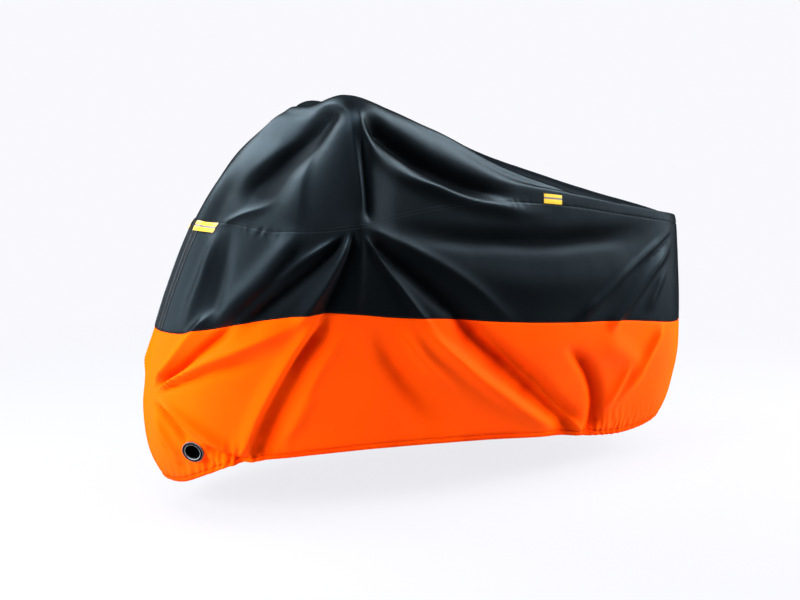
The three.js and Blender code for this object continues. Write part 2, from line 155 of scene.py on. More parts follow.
def bell(x: Array, middle: float, reach: float, sharp: float = 2.0) -> Array:
    """Bell curve from 0 to 1: exp(-|(x - middle) / reach| ^ sharp)."""
    return np.exp(-(np.abs((x - middle) / reach) ** sharp))


@dataclass(frozen=True)
class Noise:
    """Smooth noise on the cloth: sizes of its cells and height, in millimetres, and its seed."""

    cell: Pair
    height: float
    seed: int

    def at(self, along: Array, up: Array, shift: int = 0) -> Array:
        """Values at places of the cloth. A shift of the seed gives another noise."""
        return self.height * slope_noise(along / self.cell[0], up / self.cell[1], self.seed + shift)


@dataclass(frozen=True)
class Section:
    """One section of the cover: x, half width and height at each level, and how hard the
    elastic pulls the hem inwards."""

    name: str
    tuck: float
    hem: tuple[float, float, float]
    belly: tuple[float, float, float]
    colour: tuple[float, float, float]
    waist: tuple[float, float, float]
    ridge: tuple[float, float, float]
    crown: tuple[float, float, float]

    def levels(self) -> Array:
        """Points of the left side from the hem to the crown, one row each."""
        rows = np.array([self.hem, self.belly, self.colour, self.waist, self.ridge, self.crown], float)
        return rows * MIRROR


@dataclass(frozen=True)
class Fold:
    """One ridge or valley on the cloth, in cloth coordinates in millimetres.

    It runs from start to end, and bow is how far its middle lies to the left of that line.
    Widths are its half widths at the two ends, sharp is 1 for a crease and 2 for a soft roll,
    and fades are the shares of its length over which it rises and dies away. Lean widens its
    left flank and narrows its right one by that share.
    """

    name: str
    start: Pair
    end: Pair
    bow: float
    widths: Pair
    height: float
    sharp: float
    fades: Pair
    lean: float = 0.0

    def relief(self, along: Array, up: Array) -> Array:
        """Height of the fold.

        With t the share of the way along the chord and d the distance from the bowed line, the
        height is height times the two fades times exp(-|d / width| ^ sharp).

        Args:
            along: First cloth coordinate.
            up: Second cloth coordinate.

        Returns:
            Heights in millimetres.
        """
        chord = np.subtract(self.end, self.start)
        length = float(np.hypot(*chord))
        tx, ty = chord / length
        dx, dy = along - self.start[0], up - self.start[1]
        t = (dx * tx + dy * ty) / length
        inside = np.clip(t, 0.0, 1.0)
        slope = 4.0 * self.bow * (1.0 - 2.0 * inside) / length
        offset = dy * tx - dx * ty - 4.0 * self.bow * inside * (1.0 - inside)
        width = self.widths[0] + (self.widths[1] - self.widths[0]) * inside
        width = width * np.where(offset > 0.0, 1.0 + self.lean, 1.0 - self.lean)
        share = np.abs(offset) / np.hypot(1.0, slope) / width
        fade = smooth(t / self.fades[0]) * smooth((1.0 - t) / self.fades[1])
        return self.height * fade * np.exp(-(share**self.sharp))


@dataclass(frozen=True)
class Bump:
    """A place where something under the cloth pushes it out, in millimetres."""

    name: str
    centre: Pair
    reach: Pair
    height: float
    sharp: float

    def relief(self, along: Array, up: Array) -> Array:
        """Height: height times exp(-r ^ sharp), with r the distance in reaches."""
        r = np.hypot((along - self.centre[0]) / self.reach[0], (up - self.centre[1]) / self.reach[1])
        return self.height * np.exp(-(r**self.sharp))


SECTIONS = (
    Section("nose", 170, (-915, 0, 88), (-972, 0, 290), (-928, 0, 560),
            (-795, 0, 890), (-662, 0, 1075), (-560, 0, 1172)),
    Section("nose corner", 130, (-882, 85, 92), (-935, 115, 290), (-880, 130, 565),
            (-722, 145, 890), (-590, 125, 1090), (-505, 0, 1195)),
    Section("cheek", 70, (-825, 175, 135), (-830, 225, 350), (-765, 265, 605),
            (-620, 285, 875), (-475, 175, 1160), (-435, 0, 1212)),
    Section("high point", 20, (-735, 245, 175), (-635, 310, 415), (-525, 355, 635),
            (-425, 385, 890), (-372, 225, 1252), (-360, 0, 1222)),
    Section("shoulder", 0, (-425, 325, 195), (-350, 345, 400), (-270, 350, 600),
            (-260, 330, 910), (-215, 215, 1195), (-215, 0, 1208)),
    Section("hump", 0, (-170, 330, 185), (-140, 345, 390), (-90, 340, 580),
            (-65, 285, 925), (-20, 195, 1108), (-30, 0, 1160)),
    Section("slope", 0, (85, 315, 165), (95, 330, 365), (115, 325, 550),
            (135, 245, 925), (180, 180, 1012), (180, 0, 1070)),
    Section("low back", 15, (360, 285, 133), (350, 305, 330), (350, 310, 525),
            (390, 215, 900), (410, 160, 945), (410, 0, 992)),
    Section("tail", 50, (645, 220, 93), (640, 255, 300), (630, 265, 500),
            (650, 180, 855), (640, 140, 884), (628, 0, 924)),
    Section("tail corner", 120, (845, 155, 114), (885, 185, 280), (895, 185, 460),
            (905, 120, 808), (880, 90, 832), (850, 0, 862)),
    Section("rear", 170, (905, 0, 127), (985, 0, 270), (1008, 0, 455),
            (1002, 0, 785), (982, 0, 812), (950, 0, 830)),
)

FOLDS = (
    Fold("brow hollow", (-449, 1300), (-805, 906), -38, (29, 74), -33, 1.9, (0.11, 0.4), 0.6),
    Fold("brow flank", (-985, 850), (-790, 1090), 0, (60, 50), -13, 2.0, (0.2, 0.35)),
    Fold("cheek ridge", (-552, 1170), (-640, 850), 8, (20, 50), 9, 1.9, (0.4, 0.45), -0.5),
    Fold("tag ridge", (-900, 880), (-655, 990), -5, (8, 15), 9, 1.4, (0.2, 0.5)),
    Fold("upright line b", (-420, 1250), (-415, 905), 5, (9, 13), 4, 1.6, (0.3, 0.3)),
    Fold("upright shade", (-380, 1225), (-405, 890), 5, (12, 15), -12, 1.7, (0.4, 0.15)),
    Fold("shoulder fold", (-390, 1285), (-195, 1020), -65, (14, 26), 8, 1.7, (0.2, 0.4)),
    Fold("crescent", (-315, 1065), (385, 865), -28, (22, 28), 22, 1.9, (0.3, 0.45)),
    Fold("long hollow", (-385, 1235), (225, 935), -50, (26, 36), -34, 1.9, (0.14, 0.35)),
    Fold("ridge band", (-270, 1272), (645, 892), 0, (18, 15), 9, 1.8, (0.3, 0.35)),
    Fold("hammock shade", (-365, 890), (895, 805), -60, (28, 42), -20, 2.0, (0.3, 0.3)),
    Fold("hammock", (-350, 870), (1000, 795), -182, (46, 78), 14, 2.0, (0.42, 0.5)),
    Fold("fan a", (-425, 890), (210, 470), 50, (14, 28), 11, 1.6, (0.12, 0.4)),
    Fold("fan a shade", (-420, 868), (20, 495), 20, (12, 34), -22, 1.8, (0.16, 0.35)),
    Fold("fan b", (-430, 870), (-110, 495), 5, (8, 20), 15, 1.5, (0.15, 0.4)),
    Fold("fan middle", (-440, 880), (-440, 565), 20, (10, 30), 7, 1.8, (0.2, 0.4)),
    Fold("fan c shade", (-450, 885), (-550, 555), 20, (7, 15), -14, 1.6, (0.18, 0.35)),
    Fold("fan c", (-460, 880), (-625, 540), 15, (10, 30), 30, 1.7, (0.18, 0.35)),
    Fold("fan d shade", (-465, 880), (-815, 530), 25, (8, 30), -24, 1.7, (0.15, 0.3)),
    Fold("fan d", (-475, 875), (-775, 625), -10, (9, 22), 14, 1.6, (0.25, 0.45)),
    Fold("fan e shade", (-590, 855), (-855, 530), 20, (12, 26), -18, 1.7, (0.3, 0.3)),
    Fold("knee ridge", (-610, 910), (-880, 520), 30, (36, 50), 25, 1.9, (0.25, 0.3)),
    Fold("nose hollow", (-850, 930), (-885, 500), 10, (22, 38), -11, 1.9, (0.5, 0.4)),
    Fold("nose ridge", (-895, 900), (-985, 490), 10, (18, 34), 13, 1.9, (0.4, 0.4)),
    Fold("tail fan a", (945, 785), (385, 490), -23, (15, 18), 17, 1.8, (0.25, 0.2)),
    Fold("tail fan shade", (940, 770), (440, 490), -20, (12, 22), -13, 1.7, (0.2, 0.35)),
    Fold("tail fan b", (930, 745), (540, 460), -10, (17, 20), 22, 1.8, (0.3, 0.12)),
    Fold("tail fan c", (880, 660), (730, 500), 0, (14, 22), 8, 1.8, (0.4, 0.35)),
    Fold("nose fan a", (-1098, 360), (-850, 620), -8, (7, 26), 24, 1.6, (0.2, 0.25)),
    Fold("nose fan shade", (-1088, 352), (-770, 590), -8, (7, 22), -30, 1.6, (0.18, 0.25)),
    Fold("nose fan b", (-1088, 345), (-540, 605), 0, (7, 38), 24, 1.7, (0.16, 0.3)),
    Fold("nose fan b shade", (-1080, 335), (-640, 470), 12, (5, 30), -14, 1.7, (0.15, 0.4)),
    Fold("nose fan c", (-1095, 335), (-750, 100), 20, (7, 24), 24, 1.6, (0.25, 0.3)),
    Fold("pinch shade", (-900, 190), (-735, 85), 0, (12, 16), -22, 1.7, (0.3, 0.15)),
    Fold("pinch fold", (-1080, 225), (-950, 75), 0, (8, 18), -13, 1.6, (0.4, 0.25)),
    Fold("nose fan c shade", (-1095, 318), (-830, 70), 10, (5, 18), -18, 1.6, (0.2, 0.3)),
    Fold("nose fan d", (-1090, 290), (-960, 85), 0, (8, 22), 16, 1.7, (0.3, 0.35)),
    Fold("faint ridge", (-530, 380), (-625, 175), 5, (12, 16), 5, 1.7, (0.35, 0.35)),
    Fold("crease", (-520, 635), (-765, 90), -25, (16, 26), 15, 1.7, (0.2, 0.12), -0.3),
    Fold("crease shade", (-486, 636), (-722, 92), -22, (20, 32), -26, 1.8, (0.22, 0.12), 0.4),
    Fold("second crease", (-440, 590), (-655, 110), -10, (12, 20), 6, 1.6, (0.25, 0.25)),
    Fold("skirt hollow", (-400, 600), (-95, 165), -5, (28, 48), -15, 2.0, (0.35, 0.4)),
    Fold("skirt ridge a", (-290, 590), (-30, 295), -15, (16, 26), 12, 1.8, (0.3, 0.45)),
    Fold("skirt ridge b", (-235, 600), (420, 110), -35, (18, 34), 22, 1.8, (0.22, 0.2)),
    Fold("skirt valley", (-100, 605), (452, 108), 14, (36, 54), -36, 2.0, (0.2, 0.14), -0.4),
    Fold("skirt crisp", (-25, 570), (475, 100), 0, (10, 15), 17, 1.4, (0.2, 0.1)),
    Fold("rear valley", (350, 440), (515, 95), 65, (20, 34), -26, 1.9, (0.3, 0.1)),
    Fold("rear ridge", (835, 475), (590, 175), 10, (15, 26), 18, 1.6, (0.2, 0.35)),
    Fold("rear short ridge", (660, 350), (548, 170), 8, (14, 18), 12, 1.6, (0.3, 0.3)),
    Fold("rear puff", (480, 455), (750, 275), 15, (44, 44), 12, 2.0, (0.35, 0.35)),
)

BUMPS = (
    Bump("side point", (-440, 885), (44, 48), 13, 1.7),
    Bump("front high point", (-405, 1300), (60, 50), -24, 1.9),
    Bump("brow top", (-485, 1355), (95, 75), 28, 2.0),
    Bump("crown dip front", (-508, 1345), (34, 48), -9, 1.9),
    Bump("crown dip rear", (-396, 1350), (38, 44), -11, 1.9),
    Bump("front knot", (-1120, 345), (30, 30), -3, 1.8),
)


@dataclass(frozen=True)
class Spacing:
    """Steps between two breaks of a parameter, an even number of them, closer at a seam."""

    end: float
    steps: int
    near_start: bool = False
    near_end: bool = False

    def values(self, start: float) -> Array:
        """Values from start up to, but not with, the end.

        A share t moves to t less 0.6 sin(k t) / k, with k = 2 pi where both ends are seams and pi
        where one is, so the steps at a seam are 0.4 of an even step.
        """
        t = np.arange(self.steps) / self.steps
        if self.near_start and self.near_end:
            t = t - CROWDING * np.sin(2.0 * math.pi * t) / (2.0 * math.pi)
        elif self.near_start:
            t = t - CROWDING * np.sin(math.pi * t) / math.pi
        elif self.near_end:
            t = t + CROWDING * np.sin(math.pi * t) / math.pi
        return start + (self.end - start) * t


def spaced(start: float, spacings: tuple[Spacing, ...]) -> Array:
    """All values of a parameter, from start to the last end."""
    starts = [start, *(item.end for item in spacings[:-1])]
    parts = [item.values(first) for item, first in zip(spacings, starts)]
    return np.concatenate([*parts, [spacings[-1].end]])


def through(points: Array, positions: Array) -> Array:
    """Catmull-Rom curve through points, whose first and last entries only steer it.

    Args:
        points: Points along the first axis.
        positions: Places on the curve, 0 at the second point.

    Returns:
        Points at the positions, along the first axis.
    """
    first = np.clip(np.floor(positions).astype(int), 0, len(points) - 4)
    t = (positions - first).reshape((-1,) + (1,) * (points.ndim - 1))
    a, b, c, d = (points[first + i] for i in range(4))
    curve = 2 * b + (c - a) * t + (2 * a - 5 * b + 4 * c - d) * t**2
    return 0.5 * (curve + (3 * b - a - 3 * c + d) * t**3)


@dataclass
class Patch:
    """A rectangular part of a surface, by rows and columns, in the frame in metres."""

    points: Array
    normals: Array
    coords: Array
    folds: Array
    ids: Array

    def part(self, rows: slice, columns: slice) -> Patch:
        """A smaller rectangle of the patch."""
        return Patch(*(values[rows, columns] for values in self.arrays()))

    def arrays(self) -> tuple[Array, ...]:
        """The patch's arrays, in the order of its fields."""
        return self.points, self.normals, self.coords, self.folds, self.ids

    def flipped(self) -> Patch:
        """The patch with its columns in the other order."""
        return self.part(slice(None), slice(None, None, -1))

    def beside(self, other: Patch) -> Patch:
        """This patch with another after its last column, which is the other's first column."""
        pairs = zip(self.arrays(), other.arrays())
        return Patch(*(np.concatenate([mine, theirs[:, 1:]], axis=1) for mine, theirs in pairs))

    def over(self, other: Patch) -> Patch:
        """This patch with another above its last row, which is the other's first row."""
        pairs = zip(self.arrays(), other.arrays())
        return Patch(*(np.concatenate([mine, theirs[1:]]) for mine, theirs in pairs))


@dataclass
class Drape:
    """The cover's whole cloth as it hangs, worked out once for both sides."""

    colour_seam: float = 2.0
    waist_seam: float = 3.0
    crown: float = 5.0
    rear: float = 10.0
    binding_edge: float = 0.3
    skirt_split: float = 3.0
    measured_from: float = 5.0
    spine_end: float = 600.0
    right_share: float = 0.8
    end_share: float = 0.15
    calm_from: float = 0.6
    eyelet_at: Pair = (-928.0, 156.0)
    eyelet_calm: float = 50.0
    right_shift: float = 30.0
    # Painted shade near the hem: how much the fold depth is lowered there, in millimetres, and its reach.
    hem_shade: float = 16.0
    hem_shade_reach: float = 24.0
    right_point: Bump = Bump("right high point", (-420, 1290), (170, 170), -64, 2.0)
    columns: tuple[Spacing, ...] = (
        Spacing(0.3, 12), Spacing(1.0, 26), Spacing(2.0, 40), Spacing(3.0, 50, False, True),
        Spacing(4.0, 46, True, False), Spacing(5.0, 44), Spacing(6.0, 46), Spacing(7.0, 52),
        Spacing(8.0, 52), Spacing(9.0, 52), Spacing(10.0, 36),
    )
    rows: tuple[Spacing, ...] = (
        Spacing(1.0, 48, True, False), Spacing(2.0, 48, False, True), Spacing(3.0, 72, True, True),
        Spacing(4.0, 44, True, False), Spacing(5.0, 18),
    )
    wander: tuple[Noise, Noise] = (Noise((170.0, 170.0), 4.0, 11), Noise((170.0, 170.0), 4.0, 12))
    swelling: tuple[Noise, ...] = (
        Noise((170.0, 170.0), 1.2, 21), Noise((75.0, 75.0), 0.4, 22), Noise((34.0, 34.0), 0.1, 23),
    )
    other_seed: int = 10
    gather_height: float = 3.7
    gather_waves: Pair = (27.0, 41.0)
    second_wave: float = 0.6
    gather_bend: Noise = Noise((60.0, 60.0), 14.0, 31)
    gather_fade: Pair = (50.0, 1.4)
    held_share: float = 0.3
    held_over: Pair = (4.0, 18.0)
    tight_share: float = 0.3
    tight_ends: tuple[Pair, Pair] = ((-450.0, -300.0), (350.0, 200.0))
    tight_places: tuple[Pair, Pair] = ((-800.0, 75.0), (590.0, 75.0))
    seam_depth: float = 1.8
    seam_width: float = 4.0
    pucker_reach: float = 16.0
    puckers: tuple[Noise, Noise] = (Noise((17.0, 60.0), 0.8, 41), Noise((17.0, 60.0), 0.8, 42))
    tag_tucks: tuple[tuple[float, float, float], ...] = ((-732.0, 60.0, 1.0), (195.0, 45.0, 0.8))
    tuck_band: Pair = (-6.0, 14.0)
    tuck_height: float = 1.6
    tuck_length: float = 5.5
    tuck_bend: Noise = Noise((40.0, 40.0), 2.0, 43)
    waist_depth: tuple[tuple[float, ...], ...] = (
        (0.0, 0.6, 1.2, 3.0, 3.4, 5.8, 6.3, 10.0),
        (0.8, 0.8, 0.35, 0.35, 0.05, 0.05, 0.8, 0.8),
    )
    hem_casing: float = 15.0
    casing_height: float = 1.8
    casing_middle: float = 0.45
    casing_reach: float = 7.0
    casing_stitch: Pair = (2.2, 2.8)
    split_fade: float = 0.05
    hem_radius: float = 2.5
    hem_turn: float = 12.0
    hem_round_steps: int = 8
    hem_flat_steps: int = 2
    sides: dict[Side, Patch] = field(default_factory=dict)

    def __post_init__(self) -> None:
        """Works the cloth out on its grid."""
        self.section_at = spaced(0.0, self.columns)
        self.level_at = spaced(0.0, self.rows)
        plain = self.plain_points()
        along, up = self.cloth_coordinates(plain)
        normals = self.outward(plain, plain * MIRROR)
        left = plain + normals * self.relief(along, up, Side.LEFT)[..., None]
        right = (plain + normals * self.relief(along, up, Side.RIGHT)[..., None]) * MIRROR
        own = self.own_share()
        right[..., 2] += own * self.right_point.relief(along, up)
        for points in (left, right):
            points[:, [0, -1], 1] = 0.0
            points[-1, :, 1] = 0.0
        for side, points, other in ((Side.LEFT, left, right), (Side.RIGHT, right, left)):
            self.sides[side] = self.finished(side, points, other, along, up)

    def plain_points(self) -> Array:
        """Points of the left side without folds, by rows of one level and columns of one section.

        A Catmull-Rom curve runs up each section and another through the sections at each level.
        A point under the hem steers the curve as the elastic does.
        """
        levels = np.stack([section.levels() for section in SECTIONS], axis=1)
        hem, belly = levels[0], levels[1]
        spine = np.clip(hem[:, 0], -self.spine_end, self.spine_end)
        inward = unit(np.stack([spine - hem[:, 0], -hem[:, 1], 0.0 * spine], axis=1))
        tuck = np.array([section.tuck for section in SECTIONS])[:, None]
        steer = 2.0 * hem - belly + tuck * inward
        upward = np.concatenate([steer[None], levels, levels[-2:-1] * MIRROR])
        across = through(upward, self.level_at).transpose(1, 0, 2)
        ring = np.concatenate([across[1:2] * MIRROR, across, across[-2:-1] * MIRROR])
        return through(ring, self.section_at).transpose(1, 0, 2)

    def cloth_coordinates(self, points: Array) -> tuple[Array, Array]:
        """Lengths along each row and up each column, measured from the anchor lines."""
        column = int(np.argmin(np.abs(self.section_at - self.measured_from)))
        row = self.row_of(self.waist_seam)
        steps = np.linalg.norm(np.diff(points, axis=1), axis=2)
        along = np.concatenate([np.zeros((len(points), 1)), np.cumsum(steps, axis=1)], axis=1)
        along += points[:, column, 0:1] - along[:, column : column + 1]
        steps = np.linalg.norm(np.diff(points, axis=0), axis=2)
        up = np.concatenate([np.zeros((1, points.shape[1])), np.cumsum(steps, axis=0)])
        up += points[row : row + 1, :, 2] - up[row : row + 1]
        return along, up

    def row_of(self, level: float) -> int:
        """Index of a level's row."""
        return int(np.argmin(np.abs(self.level_at - level)))

    def column_of(self, section: float) -> int:
        """Index of a section's column."""
        return int(np.argmin(np.abs(self.section_at - section)))

    def own_share(self) -> Array:
        """How far a place on the right side may differ from the left: none where they meet."""
        ends = np.minimum(self.section_at, self.section_at[-1] - self.section_at)
        return smooth(ends)[None, :] * smooth(self.crown - self.level_at)[:, None]

    @staticmethod
    def outward(points: Array, other: Array) -> Array:
        """Outward normals of the left side.

        The tangents are differences between neighbours. Past the nose, the rear and the crown
        the neighbour is the other side's.
        """
        wide = np.concatenate([other[:, 1:2], points, other[:, -2:-1]], axis=1)
        across = wide[:, 2:] - wide[:, :-2]
        low = 2.0 * points[0:1] - points[1:2]
        tall = np.concatenate([low, points, other[-2:-1]])
        return unit(np.cross(across, tall[2:] - tall[:-2]))

    def relief(self, along: Array, up: Array, side: Side) -> Array:
        """Height of all folds, bumps, seams and gathers over the plain cloth, in millimetres."""
        own = self.own_share() if side is Side.RIGHT else 0.0
        u = along - self.right_shift * own
        wander_u = u + self.wander[0].at(u, up)
        wander_v = up + self.wander[1].at(u, up)
        height = sum(fold.relief(wander_u, wander_v) for fold in FOLDS)
        height = height + sum(bump.relief(u, up) for bump in BUMPS)
        height = height * (1.0 - (1.0 - self.right_share) * own) * self.calm()[None, :]
        from_eyelet = np.hypot(along - self.eyelet_at[0], up - self.eyelet_at[1]) / self.eyelet_calm
        height = height * (1.0 - np.exp(-(from_eyelet**4)))
        return height + self.crumple(u, up, own) + self.gathers(u, up) + self.seams(along, up)

    def calm(self) -> Array:
        """Share of the folds at each section. They die down where both sides meet."""
        nearest = np.minimum(self.section_at, self.section_at[-1] - self.section_at)
        return self.end_share + (1.0 - self.end_share) * smooth(nearest / self.calm_from)

    def crumple(self, along: Array, up: Array, own: Array | float) -> Array:
        """Low uneven swelling of the cloth: three sizes of noise, each with its own height."""
        first = sum(noise.at(along, up) for noise in self.swelling)
        other = sum(noise.at(along, up, self.other_seed) for noise in self.swelling)
        return first + own * (other - first)

    def gathers(self, along: Array, up: Array) -> Array:
        """Small upright gathers over the elastic of the hem.

        Two waves across the hem, bent by noise, die away above it. They are highest where the
        elastic is tightest, at the nose and at the tail.
        """
        over = up - up[0:1]
        bend = self.gather_bend.at(along, up)
        first, second = self.gather_waves
        waves = np.cos((along + bend) * 2.0 * math.pi / first)
        waves = waves + self.second_wave * np.cos((along - bend) * 2.0 * math.pi / second)
        tight = self.tight_share * sum(smooth((along - start) / reach) for start, reach in self.tight_ends)
        tight = tight + sum(bell(along, middle, reach) for middle, reach in self.tight_places)
        start, reach = self.held_over
        held = self.held_share + (1.0 - self.held_share) * smooth((over - start) / reach)
        return self.gather_height * tight * waves * held * bell(over, 0.0, *self.gather_fade)

    def seams(self, along: Array, up: Array) -> Array:
        """Troughs along the seams and the hem's casing, in millimetres."""
        depths = (np.ones_like(self.section_at), np.interp(self.section_at, *self.waist_depth))
        height = 0.0 * up
        for level, depth, noise in zip((self.colour_seam, self.waist_seam), depths, self.puckers):
            off = up - up[self.row_of(level)]
            pucker = noise.at(along, up) * bell(off, 0.0, self.pucker_reach)
            height = height + depth * (pucker - self.seam_depth * bell(off, 0.0, self.seam_width))
        off = up - up[self.row_of(self.waist_seam)]
        gathered = sum(share * bell(along, middle, reach) for middle, reach, share in self.tag_tucks)
        tucks = np.sin(along / self.tuck_length + self.tuck_bend.at(along, up))
        height = height + self.tuck_height * gathered * tucks * bell(off, *self.tuck_band)
        split = along - along[:, self.column_of(self.skirt_split)][:, None]
        below = smooth((self.colour_seam - self.level_at) / self.split_fade)[:, None]
        height = height - self.seam_depth * below * bell(split, 0.0, self.seam_width)
        over = up - up[0:1]
        casing = self.casing_height * bell(over, self.casing_middle * self.hem_casing, self.casing_reach, 4.0)
        depth, reach = self.casing_stitch
        return height + casing - depth * bell(over, self.hem_casing, reach)

    def finished(self, side: Side, points: Array, other: Array, along: Array, up: Array) -> Patch:
        """The side with its turned hem, normals, cloth coordinates and fold depths, lowered near the hem as
        painted shade.
        """
        normals = self.outward(points, other)
        if side is Side.RIGHT:
            normals = -normals
        upward = unit(points[1] - points[0])
        angles = np.linspace(math.pi, 0.0, self.hem_round_steps + 1)[:-1]
        turn = np.cos(angles)[:, None, None]
        lean = np.sin(angles)[:, None, None]
        radius = self.hem_radius
        bend = points[0] - normals[0] * radius * (1.0 - turn) - upward * radius * lean
        bend_normals = normals[0] * turn - upward * lean
        climb = np.linspace(self.hem_turn, 0.0, self.hem_flat_steps + 1)[:-1, None, None]
        flat = bend[0] + upward * climb
        flat_normals = np.repeat(bend_normals[0:1], self.hem_flat_steps, axis=0)
        lip = np.concatenate([flat, bend])
        lip_up = up[0] - radius * math.pi - np.linspace(self.hem_turn, 0.0, len(lip))[:, None]
        coords = np.stack([along, up], axis=-1)
        lip_coords = np.stack(np.broadcast_arrays(along[0], lip_up), axis=-1)
        # Painted shade: the depths are lowered near the hem, so the colour and gloss turn darker there.
        depth = self.relief(along, up, side) - self.hem_shade * bell(up - up[0:1], 0.0, self.hem_shade_reach)
        folds = np.concatenate([np.repeat(depth[0:1], len(lip), axis=0), depth])
        everything = np.concatenate([lip, points])
        return Patch(
            in_frame(everything),
            np.concatenate([flat_normals, bend_normals, normals]),
            np.concatenate([lip_coords, coords]) * MM,
            folds * MM,
            self.shared_ids(side, everything.shape[:2]),
        )

    @staticmethod
    def shared_ids(side: Side, shape: tuple[int, int]) -> Array:
        """Names of the grid's points. Both sides give the same names where they meet."""
        left = np.arange(shape[0] * shape[1]).reshape(shape)
        if side is Side.LEFT:
            return left
        right = left + left.size
        right[:, [0, -1]] = left[:, [0, -1]]
        right[-1] = left[-1]
        return right

    @property
    def hem_rows(self) -> int:
        """Rows of the turned hem, which come before the level rows."""
        return self.hem_round_steps + self.hem_flat_steps

    def between(self, side: Side, levels: Pair, sections: Pair) -> Patch:
        """The part of one side between two levels and two sections. Level 0 takes in the turned hem."""
        first = 0 if levels[0] == 0.0 else self.hem_rows + self.row_of(levels[0])
        last = self.hem_rows + self.row_of(levels[1])
        columns = slice(self.column_of(sections[0]), self.column_of(sections[1]) + 1)
        return self.sides[side].part(slice(first, last + 1), columns)

    def at(self, side: Side, sections: Array, levels: Array) -> tuple[Array, Array, Array]:
        """Points, outward normals and cloth coordinates at any places.

        Args:
            side: The side of the cover.
            sections: Sections of the places.
            levels: Levels of the places, in the same shape.

        Returns:
            Values between the four grid points around each place.
        """
        patch = self.sides[side]
        column, s = self.cell(self.section_at, sections)
        row, t = self.cell(self.level_at, levels)
        row = row + self.hem_rows

        def blend(values: Array) -> Array:
            """Weighs the four corners of each cell."""
            low = values[row, column] * (1 - s) + values[row, column + 1] * s
            high = values[row + 1, column] * (1 - s) + values[row + 1, column + 1] * s
            return low * (1 - t) + high * t

        return blend(patch.points), unit(blend(patch.normals)), blend(patch.coords)

    @staticmethod
    def cell(breaks: Array, values: Array) -> tuple[Array, Array]:
        """The grid's cell that each value lies in, and its share of the way across."""
        first = np.clip(np.searchsorted(breaks, values, "right") - 1, 0, len(breaks) - 2)
        return first, ((values - breaks[first]) / np.diff(breaks)[first])[..., None]


def new_object(name: str, points: Array, corners: Array, sizes: Array) -> Piece:
    """A mesh object from points, the corners of all faces in turn, and the faces' sizes."""
    mesh = bpy.data.meshes.new(name)
    mesh.vertices.add(len(points))
    mesh.vertices.foreach_set("co", np.asarray(points, np.float32).ravel())
    mesh.loops.add(len(corners))
    mesh.loops.foreach_set("vertex_index", np.asarray(corners, np.int32))
    mesh.polygons.add(len(sizes))
    starts = np.concatenate([[0], np.cumsum(sizes)[:-1]])
    mesh.polygons.foreach_set("loop_start", starts.astype(np.int32))
    mesh.update(calc_edges=True)
    mesh.validate()
    mesh.shade_smooth()
    piece = bpy.data.objects.new(name, mesh)
    bpy.context.scene.collection.objects.link(piece)
    return piece


def quads(ids: Array) -> Array:
    """Faces of a grid of point names, each with four corners, turned to the grid's front."""
    return np.stack([ids[:-1, :-1], ids[:-1, 1:], ids[1:, 1:], ids[1:, :-1]], axis=-1).reshape(-1, 4)


def set_map(piece: Piece, name: str, values: Array) -> None:
    """Gives a piece a UV map, from one pair of values for each vertex."""
    mesh = piece.data
    corners = np.empty(len(mesh.loops), np.int32)
    mesh.loops.foreach_get("vertex_index", corners)
    layer = mesh.uv_layers.new(name=name)
    layer.data.foreach_set("uv", np.asarray(values, np.float32)[corners].ravel())


def set_values(piece: Piece, name: str, values: Array) -> None:
    """Gives a piece an attribute, from one value for each vertex."""
    attribute = piece.data.attributes.new(name, "FLOAT", "POINT")
    attribute.data.foreach_set("value", np.asarray(values, np.float32))


@dataclass(frozen=True)
class SheetMaker:
    """Makes a closed thin sheet from a patch: its outer face on the patch, its inner face on
    every second point at the cloth's thickness, and a rim between them."""

    thickness: float = 0.0012
    stride: int = 2

    def rim(self, outer: Array, inner: Array) -> Array:
        """Faces between one edge of the outer face and the same edge of the inner one."""
        k = self.stride
        steps = [outer[i : len(outer) - k + i : k] for i in range(k)]
        return np.stack([inner[:-1], inner[1:], outer[k::k], *steps[::-1]], axis=-1)

    def make(self, name: str, patch: Patch, open_ends: bool = True, front: bool = True) -> Piece:
        """Makes the sheet.

        Args:
            name: Name of the piece.
            patch: The surface. Points with one name are joined.
            open_ends: Whether the first and last columns are edges, or are folded on themselves.
            front: Whether rows then columns turn the outer face outwards.

        Returns:
            The piece, with its cloth coordinates as a UV map and its fold depths as an attribute.
        """
        names, places, index = np.unique(patch.ids, return_index=True, return_inverse=True)
        outer = index.reshape(patch.ids.shape)
        k = self.stride
        few = patch.ids[::k, ::k]
        few_names, few_places, few_index = np.unique(few, return_index=True, return_inverse=True)
        inner = few_index.reshape(few.shape) + len(names)
        small = patch.part(slice(None, None, k), slice(None, None, k))

        def picked(values: Array, where: Array) -> Array:
            """Values of a grid at flat places."""
            return values.reshape(-1, *values.shape[2:])[where]

        lifted = small.points - small.normals * self.thickness
        points = np.concatenate([picked(patch.points, places), picked(lifted, few_places)])
        coords = np.concatenate([picked(patch.coords, places), picked(small.coords, few_places)])
        folds = np.concatenate([picked(patch.folds, places), picked(small.folds, few_places)])
        rims = [self.rim(outer[0], inner[0]), self.rim(outer[-1, ::-1], inner[-1, ::-1])]
        if open_ends:
            rims += [self.rim(outer[::-1, 0], inner[::-1, 0]), self.rim(outer[:, -1], inner[:, -1])]
        faces = [quads(outer), quads(inner)[:, ::-1], *rims]
        if not front:
            faces = [group[:, ::-1] for group in faces]
        corners = np.concatenate([group.ravel() for group in faces])
        sizes = np.concatenate([np.full(len(group), group.shape[1]) for group in faces])
        piece = new_object(name, points, corners, sizes)
        set_map(piece, "cloth", coords)
        set_values(piece, "fold", folds)
        piece.data.set_sharp_from_angle(angle=math.radians(60.0))
        return piece


